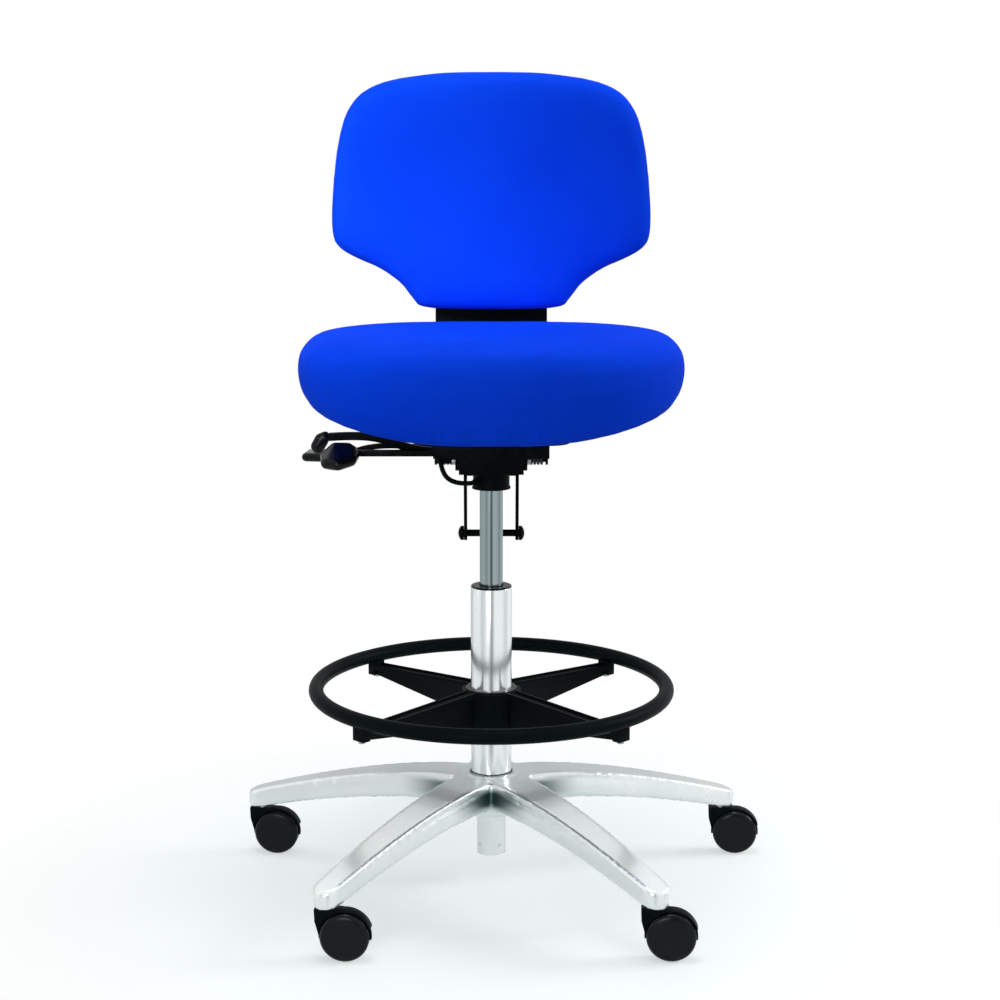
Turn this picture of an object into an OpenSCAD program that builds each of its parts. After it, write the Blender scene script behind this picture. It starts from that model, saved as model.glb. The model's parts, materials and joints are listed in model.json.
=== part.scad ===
// Office chair: five-leg base on casters, gas column, foot ring, tilting seat and back.
// Millimetres. The origin is on the floor under the column, +Z is up, the sitter faces -Y.

/* [Base] */
// Radius of the circle through the five caster stems
stem_circle_r = 310; // [295:1:325]
// Radius of the hub around the column
hub_r = 46; // [43:0.5:50]
// Height of the hub's top above the floor
hub_top_z = 140; // [136:1:144]
// Height of the hub itself
hub_h = 48; // [44:1:52]
// Step from the hub's top down to the legs' top faces
hub_lip_h = 2.5; // [1:0.5:4]
// Width of a leg at the hub
leg_root_w = 58; // [50:1:64]
// Width of a leg at its tip
leg_tip_w = 33; // [29:0.5:37]
// Depth of a leg at the hub
leg_root_h = 37; // [33:0.5:41]
// Depth of a leg at its tip
leg_tip_h = 24; // [22:0.5:28]
// Fall of a leg's top face from hub to tip
leg_fall = 55; // [52:0.5:56]
// Wall of the hollow cast legs
leg_wall = 6.5; // [5:0.25:8]
// Height of the caster sockets' lower faces above the floor
socket_z = 60; // [60:0.5:62]

/* [Casters] */
// Radius of a wheel
wheel_r = 28; // [27:0.25:28]
// Width of one wheel
wheel_w = 9.6; // [9:0.2:10.6]
// Space between the two wheels of a caster
wheel_space = 5.2; // [5:0.1:6]
// Distance from the stem's axis back to the wheels' axle
trail = 19; // [17:0.5:20]
// Radius of the stem inside the leg's socket
stem_r = 5.5; // [4.5:0.25:6]
// Length of the stem inside the socket
stem_len = 19; // [15:0.5:20]
// Radius of the stem's lower end, which the hood turns on
spigot_r = 4; // [3:0.25:4.25]
// Radius of the axle
axle_r = 4; // [3:0.25:4.5]
// Thickness of the hood over the wheels
hood_wall = 2.4; // [2:0.1:2.8]
// Width of the hood
hood_w = 15; // [14:0.5:17]

/* [Column] */
// Outer radius of the stand tube
tube_r = 25; // [24.5:0.25:25.5]
// Height of the stand tube's top above the floor
tube_top_z = 371; // [360:1:380]
// Wall of the stand tube
tube_wall = 1.5; // [1.25:0.25:2]
// Outer radius of the stand tube below the hub
tail_r = 18; // [17.5:0.25:19]
// Height of the stand tube's lower end above the floor
tail_z = 34.4; // [32:0.2:36]
// Length of the guide bush inside the stand tube
bush_len = 75; // [60:1:80]
// Outer radius of the gas cylinder
gas_r = 14; // [13.5:0.25:14.25]
// Length of the gas cylinder
gas_len = 366; // [362:1:368]
// Radius of the piston rod
rod_r = 5; // [4:0.25:5.5]

/* [Foot ring] */
// Radius of the foot ring to the middle of its tube
ring_r = 213.8; // [205:0.2:222]
// Radius of the foot ring's tube
ring_tube_r = 9; // [8:0.25:9.5]
// Height of the middle of the ring's tube above the floor
ring_z = 246; // [240:0.5:250]
// Outer radius of the sliding hub
ring_hub_r = 36; // [34:0.5:39]
// Height of the sliding hub
ring_hub_h = 49; // [44:0.5:52]
// Width of a spoke's top flange
spoke_w = 18; // [16:0.5:22]
// Radius of the clamp knob
knob_r = 20; // [17:0.5:21]

/* [Control] */
// Outer half width of the housing
box_half_w = 38; // [37:0.25:39]
// Wall of the housing
box_wall = 3.5; // [3:0.25:4.5]
// Radius of the housing's socket for the gas cylinder
boss_r = 22; // [20:0.25:23]
// Height of that socket's lower end
boss_z = 492; // [490:0.5:493]
// Height of the back's tilt shaft above the floor
shaft_z = 521; // [520:0.25:522]
// Height of the seat's tilt shaft above the floor
tilt_z = 532; // [531.5:0.25:533]
// Place of the seat's tilt shaft, in front of the column
tilt_y = -42; // [-43:0.25:-41]
// Radius of the seat's tilt shaft
tilt_r = 5; // [4.5:0.25:5.5]
// Place of the back's tilt shaft, behind the column
main_y = 56; // [55:0.25:57]
// Radius of the back's tilt shaft
main_r = 6; // [5.5:0.25:6.25]
// Radius of the springs, to the middle of the wire
spring_r = 8.8; // [8.6:0.1:9]
// Diameter of the spring wire
spring_wire = 3.4; // [3:0.1:3.5]
// Distance from curl to curl
spring_pitch = 4.2; // [4.1:0.05:4.3]
// Height of the levers' pivot above the floor
lever_z = 534.5; // [534:0.25:535]
// Place of the levers' pivot beside the housing
lever_x = -56; // [-57:0.25:-55.5]
// Height of the height lever's flat bar
bar_h = 7; // [5.5:0.25:7.5]
// Diameter of the control cable
cable_d = 6; // [5:0.25:6]

/* [Seat] */
// Width of the seat cushion
seat_w = 452; // [430:2:470]
// Depth of the seat cushion
seat_d = 427; // [410:1:430]
// Place of the seat cushion's front edge
seat_front_y = -222; // [-226:1:-210]
// Height of the top of the seat
seat_top_z = 679.5; // [665:0.5:685]
// Rise of the cushion's underside at its sides
seat_side_rise = 35; // [28:1:38]
// Height of the steel seat plate's underside
plate_z = 557; // [556.5:0.25:558]
// Thickness of the seat plate
plate_t = 3.5; // [3:0.25:4]
// Thickness of the seat board
board_t = 8.5; // [7.5:0.25:10]

/* [Back] */
// Width of the back cushion
back_w = 404; // [390:2:420]
// Height of the back cushion
back_h = 300; // [290:2:310]
// Height of the back cushion's lower edge
back_z = 690; // [688:1:698]
// Thickness of the back cushion
back_t = 50; // [42:1:54]
// How far the back's sides come forward
back_wrap = 22; // [10:1:30]
// Width of the upright bar behind the seat
upright_w = 146; // [140:1:150]
// Thickness of the upright bar
upright_t = 7; // [5:0.25:8]
// Space between the seat cushion's rear edge and the upright
upright_gap = 39; // [37:0.5:45]
// Height of the upright's top
upright_top_z = 880; // [860:1:890]
// Thickness of the plate that the upright slides behind
slider_t = 6.7; // [6:0.1:8]

/* [Clearances] */
// Clearance between pieces that only stand close
seat_gap = 0.3; // [0.25:0.05:0.35]
// Gap between the back cushion and its shell
pad_gap = 0.6; // [0.5:0.05:0.8]
// Radial clearance of a turning or sliding fit
run_gap = 0.06; // [0.04:0.01:0.08]
// Radial clearance of a fixed fit
fit_gap = 0.04; // [0.02:0.01:0.05]

/* [Hidden] */
$fn = 64;
leg_count = 5;
leg_step = 360 / leg_count;
leg_places = ["rear", "left", "front_left", "front_right", "right"];
function leg_angle(i) = 90 + leg_step * i;
// How far a cut runs past the face that it opens
overrun = 2;
black = [0.11, 0.14, 0.15];
steel = [0.55, 0.58, 0.6];
cast = [0.86, 0.88, 0.88];
blue = [0.03, 0.16, 0.85];

// Legs: the side view follows a power of the distance from the hub
leg_curve_power = 1.6;
leg_steps = 12;
leg_end_r = stem_circle_r + leg_tip_w / 2;
hub_low_z = hub_top_z - hub_h;
cone_narrowing = 2.5;
cone_low_r = tube_r - cone_narrowing;
function leg_top(r) =
    hub_top_z - hub_lip_h - leg_fall * pow(max(r - hub_r, 0) / (leg_end_r - hub_r), leg_curve_power);
function leg_h(r) = leg_root_h + (leg_tip_h - leg_root_h) * r / leg_end_r;
function leg_low(r) = max(leg_top(r) - leg_h(r), socket_z);
function leg_half_w(r) = (leg_root_w + (leg_tip_w - leg_root_w) * r / stem_circle_r) / 2;
hub_lip_w = 5;
// A groove under the rim of a leg's top, on both sides, no deeper than half the wall
channel_rim = 3.5;
channel_root_h = 8.5;
channel_tip_h = 3.5;
channel_share = 0.5;
channel_d = leg_wall * channel_share;
channel_from = hub_r + 2 * channel_root_h;
channel_to = stem_circle_r - leg_tip_w * 2 / 3;
function channel_h(r) =
    channel_root_h + (channel_tip_h - channel_root_h) * (r - channel_from) / (channel_to - channel_from);

// Casters, in their own place: the stem at the origin, the wheels trailing along +X
caster_turn = -5;
// The rear caster trails straight back, behind the column
rear_caster_turn = 85;
function turn_of(i) = leg_places[i] == "rear" ? rear_caster_turn : caster_turn;
wheel_in_y = wheel_space / 2;
wheel_out_y = wheel_in_y + wheel_w;
wheel_gap = 0.8;
canopy_in_r = wheel_r + wheel_gap;
canopy_r = canopy_in_r + hood_wall;
hood_top_z = socket_z - seat_gap;
web_side_gap = 0.4;
web_w = wheel_space - 2 * web_side_gap;
web_hub_wall = 5;
web_hub_r = axle_r + web_hub_wall;
web_low_z = wheel_r - axle_r;
hood_back_x = -15;
hood_front_x = 14;
hood_mid_x = -14.4;
hood_mid_z = 46;
hood_tip_x = -9.9;
hood_tip_z = 29.5;
canopy_end_z = 38;
spigot_len = 8.5;
wheel_disc_r = 22.5;
wheel_bevel_r = 25.2;
wheel_bevel_h = 1.1;
wheel_shoulder_h = 3.6;
wheel_dish_r = 20;
wheel_dish_h = 3;
wheel_hub_r = 8;
axle_end_gap = 0.5;
axle_cover = 2.5;

// Column
plate_low_z = 38;
plate_top_z = 42;
tail_top_z = 84;
tail_wall = 2;
tail_notch_r = 2;
tail_notch_z = 47;
tail_notch_count = 4;
rod_hole_gap = 0.3;
bearing_r = 13;
washer_t = 1.5;
ball_r = 1.1;
ball_count = 10;
rod_rise = 0.5;
rod_low_z = tail_z + rod_rise;
rod_top_z = 332;
piston_h = 14;
gas_wall = 2;
piston_r = gas_r - gas_wall - run_gap;
shoulder_r = 9;
shoulder_h = 3;
clip_z = 36.6;
clip_h = 1.2;
clip_r = 8;
clip_in_r = 4;
boss_top_z = 524;
gas_top_z = boss_top_z;
gas_low_z = gas_top_z - gas_len;
gas_seal_h = 22;
gas_head_h = 54;
gas_narrowing = 1;
gas_taper_r = gas_r - gas_narrowing;
pin_r = 3;
pin_hole_z = 498;
pin_low_z = 504;

// Foot ring
ring_hub_drop = 2.2;
ring_hub_top_z = ring_z - ring_hub_drop;
ring_hub_low_z = ring_hub_top_z - ring_hub_h;
ring_bush_t = 2.4;
ring_bush_in_r = tube_r + run_gap;
ring_bush_r = ring_bush_in_r + ring_bush_t;
spoke_count = 4;
spoke_foot_rise = 6;
spoke_root_low_z = ring_hub_low_z + spoke_foot_rise;
spoke_tip_low_z = 222;
spoke_tip_top_z = 232.6;
spoke_top_drop = 0.6;
spoke_root_top_z = ring_hub_top_z - spoke_top_drop;
spoke_web_w = 7;
spoke_flange_h = 4;
spoke_lip_w = 2;
spoke_lip_h = 2.5;
saddle_in = 8;
saddle_out = 3;
saddle_in_r = ring_r - saddle_in;
saddle_out_r = ring_r + saddle_out;
saddle_top_z = 240;
ring_screw_in = 3;
ring_screw_at_r = ring_r - ring_screw_in;
ring_screw_r = 2.5;
ring_screw_head_r = 4;
ring_screw_head_h = 3;
knob_angle = 100;
knob_z = 219.5;
knob_in = 48;
knob_h = 20;
knob_core_r = 12;
knob_lobe_r = 6;
knob_lobes = 6;
spindle_r = 4;

// Control housing and what it holds
box_front_y = -62;
box_back_y = 34;
box_low_z = 518;
box_floor_t = 4;
box_top_z = 549;
boss_lip_w = 1.2;
boss_lip_r = boss_r + boss_lip_w;
boss_lip_h = 2;
notch_low_z = 526.5;
bracket_front_y = -10;
bracket_back_y = 37;
bracket_t = 3;
bracket_out_x = -65;
bracket_floor_z = 523;
bracket_low_z = 518;
bracket_top_z = 541;
pivot_r = 4;
lever_hub_r = 7.3;
lever_hub_gap = 0.15;
height_y = 0;
seat_lever_y = 14.5;
back_lever_y = 28;
arm_t = 10;
thin_arm_t = 8;
gland_r = 4.6;
gland_x = -61;
gland_z = 535.5;
boss_gland_z = 502;
boss_gland_angle = 225;
cable_sides = 8;
cable_steps = 3;
cable_route = [
    [-61, -19, 535.5], [-61, -21, 535.5], [-61, -23, 535.5], [-60.8, -30, 534.5], [-60.2, -36, 531],
    [-59, -39.5, 525.5], [-57, -40.5, 519], [-53.5, -39.5, 512.5], [-48, -37, 507.5], [-41.5, -34, 504.5],
    [-35, -31, 503], [-29, -27.8, 502.2], [-24.5, -24.5, 502], [-22.6, -22.6, 502], [-21.2, -21.2, 502],
    [-19.8, -19.8, 502]
];

// Seat
plate_half_w = 67;
plate_front_y = -95;
plate_back_y = 90;
plate_lip_h = 15;
ear_gap = 0.4;
ear_in = box_half_w + ear_gap;
ear_t = 4;
ear_r = 12;
board_z = plate_z + plate_t;
board_half_w = 90;
board_front_y = -120;
board_back_y = 120;
board_corner_r = 25;
seat_screw_r = 3;
seat_screw_head_r = 5.5;
seat_screw_head_h = 3;
seat_screw_x = 57;
seat_screw_y = 78;
seat_screw_grip = 6;
seat_low_z = board_z + board_t + seat_gap;
seat_mid_y = seat_front_y + seat_d / 2;
seat_flat_half = 36;
seat_corner_power = 2.85;
seat_rise_power = 1.87;
seat_points = 56;
// Rings of the seat cushion: share of the outline, share of the height
seat_ring_shares = [
    [0.45, 0], [0.82, 0], [0.93, 0.024], [0.982, 0.228], [1, 0.5], [0.987, 0.76],
    [0.955, 0.9], [0.925, 0.96], [0.8, 1], [0.4, 0.99]
];
// Share of the height in the middle of the seat
seat_middle_share = 0.975;

// Springs on the ends of the back's tilt shaft
spring_curls = 4;
spring_rings = 8;
spring_sides = 6;
spring_gap = 0.3;
spring_start = ear_in + ear_t + spring_gap;
spring_body = spring_curls * spring_pitch;
spring_len = spring_body + 2 * spring_wire;
cap_t = 3;
cap_r = 9.5;
cap_in = spring_start + spring_len + spring_gap;

// Back carrier
upright_y = seat_front_y + seat_d + upright_gap;
arm_in = 30;
carrier_t = 4;
eye_r = 12;
low_eye_r = 9;
bolt_y = 78;
bolt_z = 422;
bolt_r = 4.35;
bolt_cap_r = 9;
bolt_cap_h = 7;
bolt_dome_r = 13;
bolt_washer_gap = 0.3;
arm_bush_r = 9.5;
arm_root_half = 10;
arm_tip_half = 7;
tab_back_y = 113;
tab_top_z = 511;
tab_low_z = 491;
block_front_y = 84;
block_back_y = 112;
block_gap = 0.2;
block_half_w = arm_in - block_gap;
block_top_z = 510;
block_low_z = 493;
carrier_bolt_r = 4;
carrier_bolt_head_r = 6.5;
carrier_bolt_head_h = 4;
carrier_bolt_front = 91;
carrier_bolt_back = 105;
carrier_bolt_z = 501.5;
tongue_z = 498;
bend_r = 40;
neck_low_z = 515;
neck_top_z = 575;
upright_corner = 12;

// Back
slider_side_t = 5;
slider_half_w = upright_w / 2 + slider_side_t;
slider_low_z = 745;
slider_top_z = 835;
slider_y = upright_y - seat_gap - slider_t;
slider_lip_t = 4;
slider_lip_w = 22;
shell_t = 6.4;
shell_y = slider_y - shell_t;
pad_rear_y = shell_y - pad_gap;
back_flat_half = 60;
back_mid_z = back_z + back_h / 2;
outline_steps = 3;
// Right half of the back's outline, from the top: shares of half width and of height
back_outline_shares = [
    [0.22, 0.998], [0.42, 0.987], [0.64, 0.962], [0.8, 0.915], [0.9, 0.83], [0.955, 0.7],
    [0.985, 0.54], [1, 0.38], [0.975, 0.285], [0.86, 0.228], [0.7, 0.178], [0.565, 0.11],
    [0.49, 0.045], [0.37, 0.008]
];
// Rings of the shell, and of the cushion's rear face: shares of the outline
shell_ring_shares = [0.3, 0.55, 0.75, 0.93];
// Further rings of the back cushion: share of the outline, share of the thickness
back_ring_shares = [
    [0.985, 0.14], [1, 0.4], [0.99, 0.64], [0.955, 0.85], [0.89, 0.955], [0.75, 1], [0.4, 1]
];
back_screw_r = 2.5;
back_screw_head_r = 5.2;
back_screw_cone_h = 4;
back_screw_x = 45;
back_screw_low_z = 760;
back_screw_top_z = 820;
back_screw_in = 4;
lug_x = -92;
lug_z = 787;
lug_r = 9;
lug_t = 5.7;
stud_r = 4;
latch_t = 5;
latch_gap = 0.2;
latch_hub_r = 9;
latch_tip_x = -149;
latch_tip_z = 747;
latch_low_x = -121;
latch_low_z = 725;
latch_root_x = -101;
latch_root_z = 770;

// Helpers
module mirror_x() {
    children();
    mirror([1, 0, 0]) children();
}
module across_x(half) {
    translate([-half, 0, 0]) rotate([90, 0, 90]) linear_extrude(2 * half) children();
}
module pin_x(r, from, to) {
    translate([from, 0, 0]) rotate([0, 90, 0]) cylinder(r = r, h = to - from);
}
module pin_y(r, from, to) {
    translate([0, from, 0]) rotate([-90, 0, 0]) cylinder(r = r, h = to - from);
}
module block(low, high) {
    translate(low) cube(high - low);
}
module tube_ring(in_r, out_r, h) {
    difference() {
        cylinder(r = out_r, h = h);
        translate([0, 0, -overrun]) cylinder(r = in_r, h = h + 2 * overrun);
    }
}
function spline(a, b, c, d, t) =
    0.5 * (2 * b + (c - a) * t + (2 * a - 5 * b + 4 * c - d) * t * t + (3 * b - a - 3 * c + d) * t * t * t);
function unit(v) = v / norm(v);
// A closed skin over rings of n points each, with a point at either end
function skin_faces(rings, n) = concat(
    [for (j = [0:n - 1]) [0, 1 + (j + 1) % n, 1 + j]],
    [for (k = [0:rings - 2], j = [0:n - 1], h = [0, 1])
        let (a = 1 + k * n + j, b = 1 + k * n + (j + 1) % n)
        h == 0 ? [a, b, b + n] : [a, b + n, a + n]],
    [for (j = [0:n - 1]) [1 + rings * n, 1 + (rings - 1) * n + j, 1 + (rings - 1) * n + (j + 1) % n]]
);
// A round tube swept along points, with flat ends
module swept(path, radius, sides) {
    last = len(path) - 1;
    rings = [for (k = [0:last])
        let (way = unit(path[min(k + 1, last)] - path[max(k - 1, 0)]),
             side = unit(cross(way, abs(way[0]) > 0.9 ? [0, 0, 1] : [1, 0, 0])),
             up = cross(side, way))
        for (j = [0:sides - 1])
            path[k] + radius * (cos(360 * j / sides) * side + sin(360 * j / sides) * up)];
    polyhedron(concat([path[0]], rings, [path[last]]), skin_faces(last + 1, sides));
}

// Base
module leg_side(drop, low_drop) {
    rotate([90, 0, 0]) linear_extrude(leg_root_w + 2 * overrun, center = true) polygon(concat(
        [for (k = [0:leg_steps]) let (r = leg_end_r * k / leg_steps) [r, leg_top(r) - drop]],
        [for (k = [leg_steps:-1:0]) let (r = leg_end_r * k / leg_steps) [r, leg_low(r) - low_drop]]
    ));
}
module leg_channel() {
    steps = [for (k = [0:leg_steps]) channel_from + (channel_to - channel_from) * k / leg_steps];
    difference() {
        rotate([90, 0, 0]) linear_extrude(leg_root_w + 2 * overrun, center = true) union() {
            polygon(concat(
                [for (r = steps) [r, leg_top(r) - channel_rim]],
                [for (k = [leg_steps:-1:0]) [steps[k], leg_top(steps[k]) - channel_rim - channel_h(steps[k])]]
            ));
            for (r = [channel_from, channel_to])
                translate([r, leg_top(r) - channel_rim - channel_h(r) / 2]) circle(channel_h(r) / 2);
        }
        linear_extrude(hub_top_z) polygon([
            [0, channel_d - leg_half_w(0)], [leg_end_r, channel_d - leg_half_w(leg_end_r)],
            [leg_end_r, leg_half_w(leg_end_r) - channel_d], [0, leg_half_w(0) - channel_d]
        ]);
    }
}
module leg() {
    intersection() {
        leg_side(0, 0);
        linear_extrude(hub_top_z) union() {
            polygon([
                [0, -leg_half_w(0)], [stem_circle_r, -leg_tip_w / 2],
                [stem_circle_r, leg_tip_w / 2], [0, leg_half_w(0)]
            ]);
            translate([stem_circle_r, 0]) circle(leg_tip_w / 2);
        }
    }
}
module leg_hollow() {
    from = hub_r + leg_wall;
    to = stem_circle_r - leg_tip_w / 2 - leg_wall;
    intersection() {
        leg_side(leg_wall, leg_root_h);
        linear_extrude(hub_top_z) polygon([
            [from, leg_wall - leg_half_w(from)], [to, leg_wall - leg_half_w(to)],
            [to, leg_half_w(to) - leg_wall], [from, leg_half_w(from) - leg_wall]
        ]);
    }
}
module base_star() {
    color(cast) difference() {
        union() {
            translate([0, 0, hub_low_z]) cylinder(r = hub_r, h = hub_h - hub_lip_h);
            translate([0, 0, hub_low_z]) cylinder(r = tube_r + hub_lip_w, h = hub_h);
            for (i = [0:leg_count - 1]) rotate([0, 0, leg_angle(i)]) leg();
        }
        rotate_extrude() polygon([
            [0, hub_low_z - overrun], [cone_low_r + fit_gap, hub_low_z - overrun],
            [cone_low_r + fit_gap, hub_low_z], [tube_r + fit_gap, hub_top_z],
            [tube_r + fit_gap, hub_top_z + overrun], [0, hub_top_z + overrun]
        ]);
        for (i = [0:leg_count - 1]) rotate([0, 0, leg_angle(i)]) {
            leg_hollow();
            leg_channel();
            translate([stem_circle_r, 0, socket_z - overrun])
                cylinder(r = stem_r + fit_gap, h = stem_len + overrun + seat_gap);
        }
    }
}
module caster_stems() {
    color(steel) for (i = [0:leg_count - 1]) rotate([0, 0, leg_angle(i)])
        translate([stem_circle_r, 0, 0]) {
            translate([0, 0, socket_z]) cylinder(r = stem_r, h = stem_len);
            translate([0, 0, socket_z - spigot_len]) cylinder(r = spigot_r, h = spigot_len);
        }
}

// Casters
module at_caster(i) {
    a = leg_angle(i);
    translate([stem_circle_r * cos(a), stem_circle_r * sin(a), 0]) rotate([0, 0, turn_of(i)]) children();
}
module hood_side() {
    difference() {
        union() {
            intersection() {
                translate([trail, wheel_r]) circle(canopy_r);
                translate([trail, canopy_end_z]) square([canopy_r, canopy_r]);
            }
            polygon([
                [hood_back_x, hood_top_z], [hood_mid_x, hood_mid_z], [hood_tip_x, hood_tip_z],
                [0, hood_tip_z], [trail, wheel_r + canopy_in_r / 2], [trail, wheel_r + canopy_r - seat_gap],
                [hood_front_x, hood_top_z]
            ]);
        }
        translate([trail, wheel_r]) circle(canopy_in_r);
    }
}
module web_side() {
    intersection() {
        translate([trail, wheel_r]) circle(canopy_in_r + hood_wall / 2);
        translate([trail - canopy_r, web_low_z]) square(2 * canopy_r);
    }
    translate([trail, wheel_r]) circle(web_hub_r);
}
module caster_hood() {
    color(black) difference() {
        union() {
            translate([0, hood_w / 2, 0]) rotate([90, 0, 0]) linear_extrude(hood_w) hood_side();
            translate([0, web_w / 2, 0]) rotate([90, 0, 0]) linear_extrude(web_w) web_side();
        }
        translate([0, 0, hood_top_z - spigot_len]) cylinder(r = spigot_r + run_gap, h = spigot_len + overrun);
        translate([trail, 0, wheel_r]) pin_y(axle_r + fit_gap, -hood_w, hood_w);
    }
}
module caster_axle() {
    color(steel) translate([trail, 0, wheel_r])
        pin_y(axle_r, axle_cover + axle_end_gap - wheel_out_y, wheel_out_y - axle_cover - axle_end_gap);
}
module caster_wheel() {
    color(black) translate([trail, 0, wheel_r]) rotate([-90, 0, 0]) rotate_extrude() polygon([
        [axle_r + run_gap, wheel_in_y], [wheel_hub_r, wheel_in_y], [wheel_hub_r, wheel_in_y + wheel_dish_h],
        [wheel_dish_r, wheel_in_y + wheel_dish_h], [wheel_dish_r + wheel_bevel_h, wheel_in_y],
        [wheel_r - wheel_bevel_h, wheel_in_y], [wheel_r, wheel_in_y + wheel_bevel_h],
        [wheel_r, wheel_out_y - wheel_shoulder_h], [wheel_bevel_r, wheel_out_y - wheel_bevel_h],
        [wheel_disc_r, wheel_out_y], [0, wheel_out_y],
        [0, wheel_out_y - axle_cover], [axle_r + run_gap, wheel_out_y - axle_cover]
    ]);
}

// Column
module stand_tube() {
    color(cast) difference() {
        rotate_extrude() polygon([
            [tail_r, tail_z], [tail_r, tail_top_z], [cone_low_r, hub_low_z], [tube_r, hub_top_z],
            [tube_r, tube_top_z], [tube_r - tube_wall, tube_top_z],
            [tube_r - tube_wall, hub_top_z + tube_wall], [cone_low_r - tube_wall, hub_low_z + tube_wall],
            [tail_r - tail_wall, tail_top_z], [tail_r - tail_wall, plate_top_z],
            [rod_r + rod_hole_gap, plate_top_z], [rod_r + rod_hole_gap, plate_low_z],
            [tail_r - tail_wall, plate_low_z], [tail_r - tail_wall, tail_z]
        ]);
        for (k = [0:tail_notch_count - 1]) rotate([0, 0, leg_step / 2 + 360 * k / tail_notch_count])
            translate([0, 0, tail_notch_z]) pin_x(tail_notch_r, tail_r - 2 * tail_wall, tail_r + overrun);
    }
}
module guide_bush() {
    color(black) translate([0, 0, tube_top_z - bush_len])
        tube_ring(gas_r + run_gap, tube_r - tube_wall - fit_gap, bush_len);
}
module thrust_bearing() {
    color(steel) {
        low_z = plate_top_z + fit_gap;
        ball_z = low_z + washer_t + fit_gap;
        translate([0, 0, low_z]) tube_ring(rod_r + rod_hole_gap, bearing_r, washer_t);
        translate([0, 0, ball_z + 2 * ball_r + fit_gap])
            tube_ring(rod_r + rod_hole_gap, bearing_r, washer_t);
        for (k = [0:ball_count - 1]) rotate([0, 0, 360 * k / ball_count])
            translate([(rod_r + bearing_r) / 2, 0, ball_z + ball_r]) sphere(ball_r, $fn = 32);
    }
}
bearing_top_z = plate_top_z + 2 * washer_t + 2 * ball_r + 4 * fit_gap;
module piston_rod() {
    color(steel) difference() {
        union() {
            translate([0, 0, rod_low_z]) cylinder(r = rod_r, h = rod_top_z - rod_low_z);
            translate([0, 0, bearing_top_z]) cylinder(r = shoulder_r, h = shoulder_h);
            translate([0, 0, rod_top_z - piston_h]) cylinder(r = piston_r, h = piston_h);
        }
        translate([0, 0, clip_z - fit_gap]) tube_ring(clip_in_r, rod_r + overrun, clip_h + 2 * fit_gap);
    }
}
module rod_clip() {
    color(steel) translate([0, 0, clip_z]) tube_ring(clip_in_r + fit_gap, clip_r, clip_h);
}
module gas_cylinder() {
    color(steel) rotate_extrude() polygon([
        [rod_r + run_gap, gas_low_z], [gas_r, gas_low_z], [gas_r, boss_z], [gas_taper_r, gas_top_z],
        [pin_r + run_gap, gas_top_z], [pin_r + run_gap, pin_hole_z], [0, pin_hole_z],
        [0, gas_top_z - gas_head_h], [gas_r - gas_wall, gas_top_z - gas_head_h],
        [gas_r - gas_wall, gas_low_z + gas_seal_h], [rod_r + run_gap, gas_low_z + gas_seal_h]
    ]);
}
module release_pin() {
    top = lever_z - bar_h / 2 - seat_gap;
    color(steel) translate([0, 0, pin_low_z]) cylinder(r = pin_r, h = top - pin_low_z);
}

// Foot ring
module ring_torus(grow) {
    translate([0, 0, ring_z]) rotate_extrude() translate([ring_r, 0]) circle(ring_tube_r + grow);
}
module spoke_holes(r, h) {
    for (k = [0:spoke_count - 1]) rotate([0, 0, 45 + 360 * k / spoke_count])
        translate([ring_screw_at_r, 0, spoke_tip_low_z - overrun]) cylinder(r = r, h = h + overrun);
}
module ring_hoop() {
    color(black) difference() {
        ring_torus(0);
        spoke_holes(ring_screw_r + fit_gap, ring_z - spoke_tip_low_z);
    }
}
module spoke() {
    tip = saddle_out_r;
    rotate([90, 0, 0]) linear_extrude(spoke_web_w, center = true) polygon([
        [ring_bush_r + fit_gap, spoke_root_low_z], [saddle_in_r, spoke_tip_low_z], [tip, spoke_tip_low_z],
        [tip, spoke_tip_top_z], [ring_bush_r + fit_gap, spoke_root_top_z]
    ]);
    rotate([90, 0, 0]) linear_extrude(spoke_w, center = true) polygon([
        [ring_hub_r - spoke_lip_w, spoke_root_top_z - spoke_flange_h],
        [tip, spoke_tip_top_z - spoke_flange_h], [tip, spoke_tip_top_z],
        [ring_hub_r - spoke_lip_w, spoke_root_top_z]
    ]);
    for (side = [-1, 1]) translate([0, side * (spoke_w - spoke_lip_w) / 2, 0])
        rotate([90, 0, 0]) linear_extrude(spoke_lip_w, center = true) polygon([
            [ring_hub_r - spoke_lip_w, spoke_root_top_z - spoke_flange_h],
            [tip, spoke_tip_top_z - spoke_flange_h], [tip, spoke_tip_top_z + spoke_lip_h],
            [ring_hub_r - spoke_lip_w, spoke_root_top_z + spoke_lip_h]
        ]);
    block([saddle_in_r, -spoke_w / 2, spoke_tip_low_z], [tip, spoke_w / 2, saddle_top_z]);
}
module ring_spider() {
    color(black) difference() {
        union() {
            translate([0, 0, ring_hub_low_z]) cylinder(r = ring_hub_r, h = ring_hub_h);
            for (k = [0:spoke_count - 1]) rotate([0, 0, 45 + 360 * k / spoke_count]) spoke();
        }
        translate([0, 0, ring_hub_low_z - overrun])
            cylinder(r = ring_bush_r + fit_gap, h = ring_hub_h + 3 * overrun);
        ring_torus(fit_gap);
        spoke_holes(ring_screw_r + fit_gap, ring_z - spoke_tip_low_z);
        rotate([0, 0, knob_angle]) translate([0, 0, knob_z])
            pin_x(spindle_r + run_gap, ring_bush_r - overrun, ring_hub_r + overrun);
    }
}
module ring_bush() {
    color(black) translate([0, 0, ring_hub_low_z]) tube_ring(ring_bush_in_r, ring_bush_r, ring_hub_h);
}
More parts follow.
